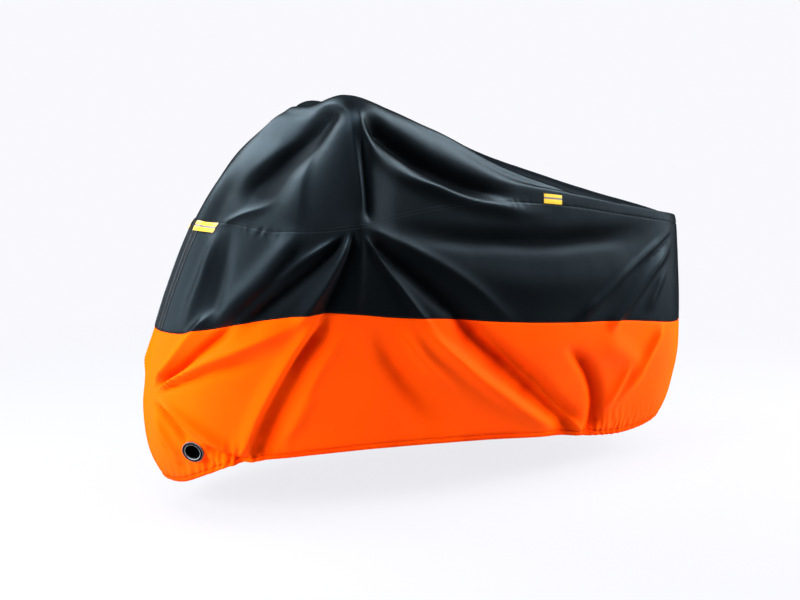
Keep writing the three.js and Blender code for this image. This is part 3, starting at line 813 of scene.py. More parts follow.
class Graph:
    """A node tree with short calls to add and join nodes."""

    def __init__(self, tree: bpy.types.NodeTree) -> None:
        """Takes the tree and empties it."""
        self.tree = tree
        tree.nodes.clear()

    def add(self, kind: str, inputs: dict | None = None, **settings: object) -> bpy.types.Node:
        """A new node.

        Args:
            kind: Type of the node, without ShaderNode in front.
            inputs: Values or sockets for its inputs, by name or index.
            settings: Its own properties.

        Returns:
            The node.
        """
        node = self.tree.nodes.new(kind if kind.startswith("NodeGroup") else f"ShaderNode{kind}")
        for key, value in settings.items():
            setattr(node, key, value)
        for key, value in (inputs or {}).items():
            if isinstance(value, Socket):
                self.tree.links.new(value, node.inputs[key])
            else:
                node.inputs[key].default_value = value
        return node

    def out(self, kind: str, output: str | int = 0, inputs: dict | None = None, **settings: object) -> Socket:
        """One output of a new node."""
        return self.add(kind, inputs, **settings).outputs[output]

    def math(self, operation: str, *values: object) -> Socket:
        """Result of a Math node on up to three values or sockets."""
        return self.out("Math", 0, dict(enumerate(values)), operation=operation)

    def mix(self, factor: object, low: object, high: object) -> Socket:
        """Colour between two colours. The node's colours are its inputs 6 and 7 and its output 2."""
        return self.out("Mix", 2, {0: factor, 6: low, 7: high}, data_type="RGBA")

    def spread(self, value: object, source: Pair, target: Pair = (0.0, 1.0)) -> Socket:
        """Value moved from one range to another, held at its ends."""
        return self.out("MapRange", 0, dict(enumerate((value, *source, *target))))

    def surface(self, kind: str, inputs: dict) -> None:
        """A shader with the material's output."""
        self.add("OutputMaterial", {"Surface": self.out(kind, 0, inputs)})


def new_material(name: str) -> tuple[Material, Graph]:
    """An empty material and its graph."""
    material = bpy.data.materials.new(name)
    material.use_nodes = True
    return material, Graph(material.node_tree)


def rgba(colour: Colour) -> tuple[float, float, float, float]:
    """A colour with full alpha."""
    return (*colour, 1.0)


class Effects:
    """Shader node groups that more than one finish uses, each built once."""

    finer = 1.7
    crease_reach = 0.10
    crease_height = 0.04
    faded_range = (0.42, 0.72)

    def __init__(self) -> None:
        """Builds the groups."""
        self.weave = self.build_weave()
        self.wrinkles = self.build_wrinkles()
        self.tone = self.build_tone()

    @staticmethod
    def group(name: str, inputs: dict[str, str], outputs: dict[str, str]) -> Graph:
        """An empty group with named sockets of the given kinds."""
        tree = bpy.data.node_groups.new(name, "ShaderNodeTree")
        for way, sockets in (("INPUT", inputs), ("OUTPUT", outputs)):
            for title, kind in sockets.items():
                tree.interface.new_socket(title, in_out=way, socket_type=f"NodeSocket{kind}")
        return Graph(tree)

    def build_weave(self) -> bpy.types.NodeTree:
        """Plain weave: threads cross over and under, so the height is the product of two sines."""
        graph = self.group("weave", {"Coordinates": "Vector", "Threads": "Float"}, {"Height": "Float"})
        given = graph.add("NodeGroupInput").outputs
        split = graph.add("SeparateXYZ", {0: given["Coordinates"]}).outputs
        turns = graph.math("MULTIPLY", given["Threads"], math.pi)
        across, upward = (graph.math("SINE", graph.math("MULTIPLY", split[i], turns)) for i in (0, 1))
        graph.add("NodeGroupOutput", {"Height": graph.math("MULTIPLY", across, upward)})
        return graph.tree

    def build_wrinkles(self) -> bpy.types.NodeTree:
        """Fine uneven wrinkles: soft noise, with creases where a second noise crosses its middle."""
        graph = self.group("wrinkles", {"Coordinates": "Vector", "Scale": "Float"}, {"Height": "Float"})
        given = graph.add("NodeGroupInput").outputs
        where, scale = given["Coordinates"], given["Scale"]
        soft = graph.out("TexNoise", 0, {"Vector": where, "Scale": scale, "Detail": 3.0, "Distortion": 0.6})
        finer = graph.math("MULTIPLY", scale, self.finer)
        bent = graph.out("TexNoise", 0, {"Vector": where, "Scale": finer, "Detail": 2.0, "Distortion": 1.2})
        away = graph.math("ABSOLUTE", graph.math("SUBTRACT", bent, 0.5))
        ridge = graph.spread(away, (0.0, self.crease_reach), (1.0, 0.0))
        crease = graph.math("MULTIPLY", ridge, self.crease_height)
        graph.add("NodeGroupOutput", {"Height": graph.math("ADD", soft, crease)})
        return graph.tree

    def build_tone(self) -> bpy.types.NodeTree:
        """Colour over a cloth: painted shade, a deeper colour in valleys, and slow noise from place to place.
        """
        colours = dict.fromkeys(("Base", "Valley", "Faded"), "Color")
        graph = self.group(
            "tone", {"Coordinates": "Vector", "Fold": "Float", **colours},
            {"Colour": "Color", "Faded share": "Float"},
        )
        given = graph.add("NodeGroupInput").outputs
        # Painted shade: the deeper the hollow, the more of the valley colour.
        deep = graph.spread(given["Fold"], VALLEY_SHADE, (1.0, 0.0))
        valley = graph.mix(deep, given["Base"], given["Valley"])
        noise = graph.out("TexNoise", 0, {"Vector": given["Coordinates"], "Scale": 4.0, "Detail": 5.0})
        share = graph.spread(noise, self.faded_range)
        colour = graph.mix(share, valley, given["Faded"])
        graph.add("NodeGroupOutput", {"Colour": colour, "Faded share": share})
        return graph.tree


@dataclass(frozen=True)
class ClothFinish:
    """Coated polyester: its colours, gloss, sheen, weave and wrinkles.

    Roughness is for new and faded cloth. The valley colour is painted shade in hollows. The gloss dies over a
    range of slants, from facing 0 to edge-on 1, and falls as painted shade to a share of itself in hollows of
    the shade depth.
    """

    name: str
    base: Colour
    # Painted shade: the colour in the folds' hollows.
    valley: Colour
    faded: Colour
    roughness: Pair
    specular: float
    sheen: float
    sheen_tint: Colour
    gloss_tint: Colour
    sheen_roughness: float = 0.4
    slants: Pair = (0.52, 0.82)
    gloss_shade_depth: float = -0.018
    gloss_shade_share: float = 0.15
    threads_per_metre: float = 1900.0
    weave_height: float = 0.00002
    wrinkle_scale: float = 9.0
    wrinkle_height: float = 0.0008

    def material(self, effects: Effects) -> Material:
        """Builds the material."""
        material, graph = new_material(self.name)
        where = graph.out("TexCoord", "Object")
        cloth = graph.out("UVMap", uv_map="cloth")
        fold = graph.out("Attribute", "Fac", attribute_name="fold")
        colours = {"Base": rgba(self.base), "Valley": rgba(self.valley), "Faded": rgba(self.faded)}
        given = {"Coordinates": where, "Fold": fold, **colours}
        tone = graph.add("Group", given, node_tree=effects.tone).outputs
        wrinkles = graph.out(
            "Group", 0, {"Coordinates": where, "Scale": self.wrinkle_scale}, node_tree=effects.wrinkles,
        )
        weave = graph.out(
            "Group", 0, {"Coordinates": cloth, "Threads": self.threads_per_metre}, node_tree=effects.weave,
        )
        low = graph.out("Bump", 0, {"Distance": self.wrinkle_height, "Height": wrinkles})
        fine = graph.out("Bump", 0, {"Distance": self.weave_height, "Height": weave, "Normal": low})
        slanted = graph.out("LayerWeight", "Facing", {"Blend": 0.5})
        gloss = graph.spread(slanted, self.slants, (self.specular, 0.0))
        # Painted shade: the gloss falls to a share of itself in the folds' hollows.
        gloss_shade = graph.spread(fold, (self.gloss_shade_depth, VALLEY_SHADE[1]), (self.gloss_shade_share, 1.0))
        graph.surface(
            "BsdfPrincipled",
            {
                "Base Color": tone["Colour"],
                "Roughness": graph.spread(tone["Faded share"], (0.0, 1.0), self.roughness),
                "Specular IOR Level": graph.math("MULTIPLY", gloss, gloss_shade),
                "Specular Tint": rgba(self.gloss_tint),
                "Sheen Weight": self.sheen,
                "Sheen Roughness": self.sheen_roughness,
                "Sheen Tint": rgba(self.sheen_tint),
                "Normal": fine,
            },
        )
        return material


@dataclass(frozen=True)
class TapeFinish:
    """Woven edging tape with ribs across it."""

    name: str = "binding tape"
    base: Colour = (0.004, 0.005, 0.006)
    rib_top: Colour = (0.014, 0.017, 0.021)
    ribs_per_metre: float = 620.0
    rib_height: float = 0.00025
    threads_per_metre: float = 1500.0
    thread_share: float = 0.3
    rib_top_share: float = 0.6
    roughness: float = 0.55
    specular: float = 0.15

    def material(self, effects: Effects) -> Material:
        """Builds the material: ribs along the tape's own map, paler on their tops."""
        material, graph = new_material(self.name)
        cloth = graph.out("UVMap", uv_map="cloth")
        upward = graph.out("SeparateXYZ", 1, {0: cloth})
        wave = graph.math("SINE", graph.math("MULTIPLY", upward, self.ribs_per_metre * 2.0 * math.pi))
        weave = graph.out(
            "Group", 0, {"Coordinates": cloth, "Threads": self.threads_per_metre}, node_tree=effects.weave,
        )
        height = graph.math("ADD", wave, graph.math("MULTIPLY", weave, self.thread_share))
        top = graph.spread(wave, (0.2, 1.0), (0.0, self.rib_top_share))
        graph.surface(
            "BsdfPrincipled",
            {
                "Base Color": graph.mix(top, rgba(self.base), rgba(self.rib_top)),
                "Roughness": self.roughness,
                "Specular IOR Level": self.specular,
                "Normal": graph.out("Bump", 0, {"Distance": self.rib_height, "Height": height}),
            },
        )
        return material


@dataclass(frozen=True)
class ReflectiveFinish:
    """Yellow tape with a silver-grey band in its middle, pressed in a fine diamond pattern."""

    name: str = "reflective tape"
    yellow: Colour = (0.80, 0.45, 0.02)
    silver: Colour = (0.15, 0.135, 0.15)
    edge: Colour = (0.012, 0.008, 0.004)
    band: Pair = (0.41, 0.58)
    band_blur: float = 0.02
    border: Pair = (0.035, 0.075)
    border_blur: float = 0.01
    diamonds_per_metre: float = 420.0
    diamond_height: float = 0.00012
    diamond_shade: float = 0.82

    def material(self, effects: Effects) -> Material:
        """Builds the material from the tape's own map, 0 to 1 across and along."""
        material, graph = new_material(self.name)
        share = graph.add("SeparateXYZ", {0: graph.out("UVMap", uv_map="tape")}).outputs
        cloth = graph.out("UVMap", uv_map="cloth")
        blur = self.band_blur
        low, high = (graph.spread(share[1], (end - blur, end + blur), to)
                     for end, to in zip(self.band, ((0.0, 1.0), (1.0, 0.0))))
        silver = graph.math("MULTIPLY", low, high)
        turned = graph.out("Mapping", 0, {"Vector": cloth, "Rotation": (0.0, 0.0, math.radians(45.0))})
        weave = graph.out(
            "Group", 0, {"Coordinates": turned, "Threads": self.diamonds_per_metre}, node_tree=effects.weave,
        )
        grid = graph.spread(weave, (-0.4, 0.4))
        shaded = tuple(self.diamond_shade * part for part in self.yellow)
        yellow = graph.mix(grid, rgba(shaded), rgba(self.yellow))
        colour = graph.mix(silver, yellow, rgba(self.silver))
        rims = []
        for part, border in zip(share, self.border):
            from_middle = graph.math("ABSOLUTE", graph.math("SUBTRACT", part, 0.5))
            rims.append(graph.spread(from_middle, (0.5 - border - self.border_blur, 0.5 - border)))
        rim = graph.math("MAXIMUM", *rims)
        graph.surface(
            "BsdfPrincipled",
            {
                "Base Color": graph.mix(rim, colour, rgba(self.edge)),
                "Roughness": graph.spread(silver, (0.0, 1.0), (0.45, 0.50)),
                "Metallic": graph.spread(silver, (0.0, 1.0), (0.0, 0.3)),
                "Coat Weight": 0.3,
                "Coat Roughness": 0.2,
                "Normal": graph.out("Bump", 0, {"Distance": self.diamond_height, "Height": grid}),
            },
        )
        return material


@dataclass(frozen=True)
class RingFinish:
    """Glossy black moulding of the lock eyelets, scuffed a little, with a painted glint along its edges."""

    name: str = "eyelet ring"
    base: Colour = (0.006, 0.006, 0.007)
    scuffed: Colour = (0.05, 0.05, 0.052)
    # Painted glint: the pale colour along the ring's lip and rolled edge.
    painted_glint: Colour = (0.30, 0.32, 0.34)
    roughness: Pair = (0.16, 0.5)
    scratch_depth: float = 0.00006

    def material(self) -> Material:
        """Builds the material: fine scratches turn it rougher and paler."""
        material, graph = new_material(self.name)
        where = graph.out("TexCoord", "Object")
        noise = graph.out("TexNoise", 0, {"Vector": where, "Scale": 160.0, "Detail": 6.0})
        scuff = graph.spread(noise, (0.56, 0.75), (0.0, 0.6))
        # Painted glint: the edge mask, broken up by the scratch noise.
        edge = graph.out("Attribute", "Fac", attribute_name="edge")
        black = graph.mix(scuff, rgba(self.base), rgba(self.scuffed))
        glint = graph.math("MULTIPLY", edge, graph.spread(noise, (0.35, 0.6), (0.35, 1.0)))
        graph.surface(
            "BsdfPrincipled",
            {
                "Base Color": graph.mix(glint, black, rgba(self.painted_glint)),
                "Roughness": graph.spread(scuff, (0.0, 1.0), self.roughness),
                "Specular IOR Level": 0.6,
                "Coat Weight": 0.6,
                "Coat Roughness": 0.08,
                "Normal": graph.out("Bump", 0, {"Distance": self.scratch_depth, "Height": noise}),
            },
        )
        return material


@dataclass(frozen=True)
class ThreadFinish:
    """Sewing thread: twisted, with a soft gloss."""

    name: str
    base: Colour
    lit: Colour
    twist_depth: float = 0.0001

    def material(self) -> Material:
        """Builds the material: slanting twist lines from a wave over the thread."""
        material, graph = new_material(self.name)
        where = graph.out("TexCoord", "Object")
        wave = graph.out("TexWave", "Fac", {"Vector": where, "Scale": 900.0, "Distortion": 2.0})
        graph.surface(
            "BsdfPrincipled",
            {
                "Base Color": graph.mix(wave, rgba(self.base), rgba(self.lit)),
                "Roughness": 0.5,
                "Normal": graph.out("Bump", 0, {"Distance": self.twist_depth, "Height": wave}),
            },
        )
        return material


def place(piece: Piece, material: Material, slot: Slot, *nodes: str) -> Piece:
    """Dresses a piece, lets it ride on the body and hides the solids that it stands for."""
    piece.data.materials.append(material)
    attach(piece, BODY)
    if nodes:
        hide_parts(*nodes)
    return piece


@dataclass(frozen=True)
class FlatCut:
    """Size of a piece of cloth before it was hung: width and length in metres, area in square metres."""

    width: float
    length: float
    area: float

    def declare(self, piece: Piece, *rests_on: Piece) -> Piece:
        """Gives the piece back unchanged."""
        return piece


@dataclass
class Panels:
    """The cloth panels: roof, side panels, skirts, nose skirts and the front binding."""

    drape: Drape
    black: Material
    orange: Material
    tape: Material
    sheet: SheetMaker = SheetMaker()
    fine_sheet: SheetMaker = SheetMaker(stride=1)
    eyelet_cut: float = 0.031
    cut_sides: int = 48
    tape_lift: float = 0.0006
    band_height: float = 0.0014
    band_inner: Pair = (0.42, 0.08)
    band_outer: Pair = (1.0, 0.06)
    roof_flat: FlatCut = FlatCut(1.29, 2.11, 1.36)
    side_flat: FlatCut = FlatCut(0.40, 2.22, 0.76)
    skirt_flat: FlatCut = FlatCut(0.53, 1.82, 0.74)
    nose_skirt_flat: FlatCut = FlatCut(0.53, 0.60, 0.24)
    binding_flat: FlatCut = FlatCut(0.09, 0.36, 0.030)

    def roof(self) -> Piece:
        """The roof, in one piece over both sides."""
        drape = self.drape
        left, right = (
            drape.between(side, (drape.waist_seam, drape.crown), (0.0, drape.rear)) for side in Side
        )
        whole = left.over(right.part(slice(None, None, -1), slice(None)))
        piece = self.sheet.make("RoofPanel", whole, open_ends=False)
        return self.roof_flat.declare(place(piece, self.black, Slot.BLACK, "roof_panel"))

    def side_panel(self, side: Side, roof: Piece) -> Piece:
        """A black panel between the colour seam and the waist seam, which hangs from the roof."""
        drape = self.drape
        levels = (drape.colour_seam, drape.waist_seam)
        patch = drape.between(side, levels, (drape.binding_edge, drape.rear))
        piece = self.sheet.make(f"SidePanel_{side.label}", patch, front=side is Side.LEFT)
        place(piece, self.black, Slot.BLACK, f"side_panel_{side.label}")
        return self.side_flat.declare(piece, roof)

    def skirt(self, side: Side, panel: Piece) -> Piece:
        """An orange skirt with its turned hem, which hangs from a black panel."""
        drape = self.drape
        patch = drape.between(side, (0.0, drape.colour_seam), (drape.skirt_split, drape.rear))
        piece = self.sheet.make(f"Skirt_{side.label}", patch, front=side is Side.LEFT)
        place(piece, self.orange, Slot.ORANGE, f"skirt_{side.label}")
        return self.skirt_flat.declare(piece, panel)

    def nose_skirt(self, side: Side, centre: Vector, normal: Vector, panel: Piece) -> Piece:
        """An orange skirt round the nose, with a round hole for its eyelet."""
        drape = self.drape
        patch = drape.between(side, (0.0, drape.colour_seam), (0.0, drape.skirt_split))
        piece = self.fine_sheet.make(f"NoseSkirt_{side.label}", patch, front=side is Side.LEFT)
        self.cut_round(piece, centre, normal)
        place(piece, self.orange, Slot.ORANGE, f"nose_skirt_{side.label}")
        return self.nose_skirt_flat.declare(piece, panel)

    def cut_round(self, piece: Piece, centre: Vector, normal: Vector) -> None:
        """Cuts a round hole square to the cloth."""
        bpy.ops.mesh.primitive_cylinder_add(vertices=self.cut_sides, radius=self.eyelet_cut, depth=0.05)
        cutter = bpy.context.object
        cutter.matrix_world = normal.to_track_quat("Z", "Y").to_matrix().to_4x4()
        cutter.location = centre
        cut = piece.modifiers.new("hole", "BOOLEAN")
        cut.operation = "DIFFERENCE"
        cut.object = cutter
        cut.solver = "EXACT"
        bpy.context.view_layer.update()
        bpy.context.view_layer.objects.active = piece
        bpy.ops.object.modifier_apply(modifier=cut.name)
        bpy.data.objects.remove(cutter)

    def binding(self, roof: Piece) -> Piece:
        """The edging tape up the middle of the nose: two raised bands with a gap between them."""
        drape = self.drape
        levels, edge = (drape.colour_seam, drape.waist_seam), (0.0, drape.binding_edge)
        left, right = (drape.between(side, levels, edge) for side in Side)
        whole = right.flipped().beside(left)
        across = np.abs(np.linspace(-1.0, 1.0, whole.points.shape[1]))
        (inner, rise), (outer, fall) = self.band_inner, self.band_outer
        band = smooth((across - inner) / rise) * smooth((outer - across) / fall)
        proud = self.tape_lift + self.band_height * band
        whole.points = whole.points + whole.normals * proud[None, :, None]
        piece = self.fine_sheet.make("FrontBinding", whole)
        place(piece, self.tape, Slot.BINDING, "front_binding")
        return self.binding_flat.declare(piece, roof)


@dataclass
class Tag:
    """A reflective tag sewn on over the waist seam."""

    name: str
    node: str
    sections: Pair
    levels: Pair
    flat: FlatCut
    steps: tuple[int, int] = (36, 20)
    lift: float = 0.0011
    puff: float = 0.0006
    puff_power: int = 6
    binding_step: float = 0.0018
    step_fade: Pair = (0.04, 0.06)
    sheet: SheetMaker = SheetMaker(thickness=0.0007, stride=1)

    def make(self, drape: Drape, side: Side, material: Material, roof: Piece) -> Piece:
        """Makes the tag: a patch of the cloth, lifted, with its edges drawn down."""
        across, upward = (np.linspace(0.0, 1.0, count + 1) for count in self.steps)
        shares = np.stack(np.meshgrid(across, upward), axis=-1)
        sections, levels = np.meshgrid(*(
            np.linspace(*ends, count + 1) for ends, count in zip((self.sections, self.levels), self.steps)
        ))
        points, normals, coords = drape.at(side, sections, levels)
        drawn = self.puff * np.prod(1.0 - np.abs(2.0 * shares - 1.0) ** self.puff_power, axis=-1)
        past, fade = self.step_fade
        over_binding = self.binding_step * smooth((drape.binding_edge + past - sections) / fade)
        points = points + normals * (self.lift + over_binding + drawn)[..., None]
        ids = np.arange(sections.size).reshape(sections.shape)
        patch = Patch(points, normals, coords, 0.0 * sections, ids)
        piece = self.sheet.make(f"{self.name}_{side.label}", patch, front=side is Side.LEFT)
        set_map(piece, "tape", np.tile(shares.reshape(-1, 2), (2, 1)))
        place(piece, material, Slot.REFLECTIVE, f"{self.node}_{side.label}")
        return self.flat.declare(piece, roof)


def turned(profile: Array, sides: int, centre: Vector, axis: Vector) -> Array:
    """Points of a profile of radii and heights, turned round an axis.

    At each angle a they lie at x = r cos a, y = r sin a and z = h, with z along the axis.
    """
    angles = np.linspace(0.0, 2.0 * math.pi, sides, endpoint=False)
    radius, height = profile[:, 0:1], profile[:, 1:2]
    rings = (radius * np.cos(angles), radius * np.sin(angles), height + 0.0 * angles)
    turn = np.array(axis.to_track_quat("Z", "Y").to_matrix())
    return np.stack(rings, axis=-1).reshape(-1, 3) @ turn.T + np.array(centre)


def closed_rings(count: int, sides: int) -> Array:
    """Point names of turned rings, with the first name of each again at its end."""
    ids = np.arange(count * sides).reshape(count, sides)
    return np.concatenate([ids, ids[:, 0:1]], axis=1)


@dataclass
class Eyelet:
    """A lock eyelet: a flanged ring clamped round a hole in the cloth.

    Its edges carry a painted glint: each has a radius, a reach, both in millimetres, and a share.
    """

    section: float = 1.63
    level: float = 0.45
    inset: float = 0.0006
    sides: int = 96
    painted_glint: tuple[tuple[float, float, float], ...] = ((25.0, 0.9, 1.0), (34.2, 0.7, 0.7))

    def centre(self, drape: Drape, side: Side) -> tuple[Vector, Vector]:
        """The ring's centre, in the middle of the cloth, and its axis."""
        point, normal, _ = drape.at(side, np.array([self.section]), np.array([self.level]))
        return Vector(point[0] - normal[0] * self.inset), Vector(normal[0])

    def profile(self) -> Array:
        """Radius and height round the ring's section, in millimetres.

        It starts inside the hole at the back, runs up the bore, over a raised lip, across a
        dished flange to its rolled edge, and back along the washer behind the cloth.
        """
        return np.array([
            (24.0, -5.0), (24.0, -2.0), (24.0, 1.5), (24.2, 3.2), (25.0, 4.4), (26.2, 4.8),
            (27.4, 4.3), (28.2, 3.2), (29.0, 2.7), (30.5, 2.6), (32.0, 3.0), (33.2, 3.5),
            (34.2, 3.3), (34.9, 2.4), (35.0, 1.3), (34.6, 0.7), (33.4, 0.65),
            (31.2, 0.65), (31.0, -0.65), (33.4, -0.7), (34.4, -1.2), (34.6, -2.2), (34.0, -3.0),
            (31.0, -3.3), (28.0, -3.8), (26.0, -5.0), (25.0, -5.4),
        ])

    def make(self, drape: Drape, side: Side, material: Material) -> Piece:
        """Turns the profile round the axis and closes it into a ring."""
        profile = self.profile()
        points = turned(profile * MM, self.sides, *self.centre(drape, side))
        ring = closed_rings(len(profile), self.sides)
        faces = quads(np.concatenate([ring, ring[0:1]]))[:, ::-1]
        piece = new_object(f"Eyelet_{side.label}", points, faces.ravel(), np.full(len(faces), 4))
        radius, height = profile.T
        # Painted glint on the lip and the rolled edge, on the face above the cloth only.
        painted_glint = sum(share * bell(radius, edge, reach) for edge, reach, share in self.painted_glint)
        set_values(piece, "edge", np.repeat(painted_glint * (height > 0.0), self.sides))
        return place(piece, material, Slot.RING, f"eyelet_{side.label}")


@dataclass
class Stitching:
    """Rows of machine stitches: each is a short thread, thick in the middle and pointed at its
    ends, that dips into the cloth."""

    drape: Drape
    length: float = 0.0034
    pitch: float = 0.0050
    radius: float = 0.00055
    round_steps: int = 6
    sink: float = 0.4
    finer: int = 8
    from_seam: float = 5.0
    end_gap: float = 0.02
    short_start: int = 12
    band_sections: Pair = (0.145, 0.285)
    band_places: int = 60
    band_lift: float = 0.0020

    def along_level(self, side: Side, level: float, sections: Pair, off: float) -> Array:
        """Places at one distance above a level's row, in millimetres, as pairs of section and level."""
        drape = self.drape
        up = drape.sides[side].coords[drape.hem_rows :, :, 1] / MM
        columns = np.arange(drape.column_of(sections[0]), drape.column_of(sections[1]) + 1)
        target = up[drape.row_of(level)] + off
        levels = [np.interp(target[i], up[:, i], drape.level_at) for i in columns]
        return np.column_stack([drape.section_at[columns], levels])

    def along_section(self, side: Side, section: float, levels: Pair, off: float) -> Array:
        """Places at one distance beside a section's column, in millimetres."""
        drape = self.drape
        along = drape.sides[side].coords[drape.hem_rows :, :, 0] / MM
        rows = np.arange(drape.row_of(levels[0]), drape.row_of(levels[1]) + 1)
        target = along[:, drape.column_of(section)] + off
        sections = [np.interp(target[j], along[j], drape.section_at) for j in rows]
        return np.column_stack([sections, drape.level_at[rows]])

    def threads(self, side: Side, places: Array, lift: float) -> tuple[Array, Array]:
        """Points and faces of one row of stitches.

        A stitch has three rings about its line, the middle one widest, and two tips. Its middle
        stands a thread's radius higher than its tips.
        """
        fine = np.linspace(0.0, len(places) - 1.0, self.finer * len(places))
        index = np.arange(len(places))
        section, level = (np.interp(fine, index, places[:, k]) for k in (0, 1))
        points, normals, _ = self.drape.at(side, section, level)
        points = points + normals * lift
        run = np.concatenate([[0.0], np.cumsum(np.linalg.norm(np.diff(points, axis=0), axis=1))])
        starts = np.arange(0.5 * self.pitch, run[-1] - self.length, self.pitch)
        shares = np.array([0.0, 0.2, 0.5, 0.8, 1.0])
        widths = np.array([0.0, 0.8, 1.0, 0.8, 0.0]) * self.radius
        where = starts[:, None] + self.length * shares
        centre = np.stack([np.interp(where, run, points[:, k]) for k in range(3)], axis=-1)
        normal = unit(np.stack([np.interp(where, run, normals[:, k]) for k in range(3)], axis=-1))
        centre = centre + normal * (self.radius * (4.0 * shares * (1.0 - shares) - self.sink))[None, :, None]
        line = unit(centre[:, -1] - centre[:, 0])[:, None, :]
        beside = unit(np.cross(normal, line))
        angles = np.arange(self.round_steps) * 2.0 * math.pi / self.round_steps
        turn = beside[:, :, None] * np.cos(angles)[:, None] + normal[:, :, None] * np.sin(angles)[:, None]
        rings = centre[:, 1:-1, None] + turn[:, 1:-1] * widths[1:-1, None, None]
        count, n = len(starts), self.round_steps
        stitch = np.concatenate([rings.reshape(count, -1, 3), centre[:, :1], centre[:, -1:]], axis=1)
        around = np.concatenate([np.arange(n), [0]])
        grid = np.arange(3)[:, None] * n + around
        body = quads(grid)
        body = np.concatenate([body[:, [0, 1, 2]], body[:, [0, 2, 3]]])
        first = np.stack([np.full(n, 3 * n), around[1:], around[:-1]], axis=1)
        last = np.stack([np.full(n, 3 * n + 1), 2 * n + around[:-1], 2 * n + around[1:]], axis=1)
        faces = np.concatenate([body, first, last])
        faces = faces[None] + (np.arange(count) * stitch.shape[1])[:, None, None]
        return stitch.reshape(-1, 3), faces.reshape(-1, 3)

    def make(
        self, name: str, side: Side, rows: list[Array], material: Material, slot: Slot, lift: float = 0.0,
    ) -> Piece:
        """Makes one piece of several rows."""
        made = [self.threads(side, places, lift) for places in rows]
        starts = np.cumsum([0, *(len(points) for points, _ in made[:-1])])
        points = np.concatenate([points for points, _ in made])
        faces = np.concatenate([faces + start for (_, faces), start in zip(made, starts)])
        piece = new_object(f"{name}_{side.label}", points, faces.ravel(), np.full(len(faces), 3))
        return place(piece, material, slot)

    def on_seams(self, side: Side) -> list[Array]:
        """Rows above the colour seam and on both sides of the waist seam."""
        drape, off = self.drape, self.from_seam
        rows = ((drape.colour_seam, off), (drape.waist_seam, off), (drape.waist_seam, -off))
        ends = (drape.binding_edge, drape.rear)
        return [self.along_level(side, level, ends, at) for level, at in rows]

    def on_hem(self, side: Side) -> list[Array]:
        """The row on the hem's casing, and the rows on both sides of the short slanting seam.

        The short rows start above the casing.
        """
        drape, gap = self.drape, self.end_gap
        hem = self.along_level(side, 0.0, (gap, drape.rear - gap), drape.hem_casing)
        levels = (gap, drape.colour_seam - gap)
        offs = (-self.from_seam, self.from_seam)
        short = [self.along_section(side, drape.skirt_split, levels, off)[self.short_start :] for off in offs]
        return [hem, *short]

    def on_bands(self) -> list[Array]:
        """The rows up the two bands of the binding."""
        first, last = self.drape.colour_seam + self.end_gap, self.drape.waist_seam - self.end_gap
        levels = np.linspace(first, last, self.band_places)
        return [np.column_stack([np.full(len(levels), section), levels]) for section in self.band_sections]


@dataclass(frozen=True)
class Lamp:
    """A soft square light: the way to it, its power and colour, and whether gloss mirrors it."""

    name: str
    toward: Colour
    power: float
    colour: Colour = (0.81, 0.94, 1.0)
    glossy: bool = True
    distance: float = 3.6
    size: float = 1.7

    def make(self, target: tuple[float, float, float]) -> None:
        """Hangs the light so that it looks at the target."""
        data = bpy.data.lights.new(self.name, "AREA")
        data.shape = "RECTANGLE"
        data.size = data.size_y = self.size
        data.energy, data.color = self.power, self.colour
        light = bpy.data.objects.new(self.name, data)
        direction = Vector(self.toward).normalized()
        light.location = Vector(target) + direction * self.distance
        light.rotation_euler = direction.to_track_quat("Z", "Y").to_euler()
        light.visible_glossy = self.glossy
        light.visible_camera = False
        bpy.context.scene.collection.objects.link(light)


LAMPS = (
    Lamp("Left rear", (-0.50, 0.50, 0.71), 120.0),
    Lamp("Left", (-0.89, 0.41, 0.21), 32.0),
    Lamp("Overhead", (-0.27, 0.05, 0.95), 70.0),
    Lamp("Right", (0.70, 0.05, 0.71), 90.0),
    Lamp("Low right", (0.96, -0.17, 0.21), 18.0),
    Lamp("Front left", (-0.96, -0.15, 0.25), 350.0, (1.0, 1.0, 1.0), False),
    Lamp("Front right", (0.94, -0.25, 0.28), 330.0, (1.0, 1.0, 1.0), False),
)


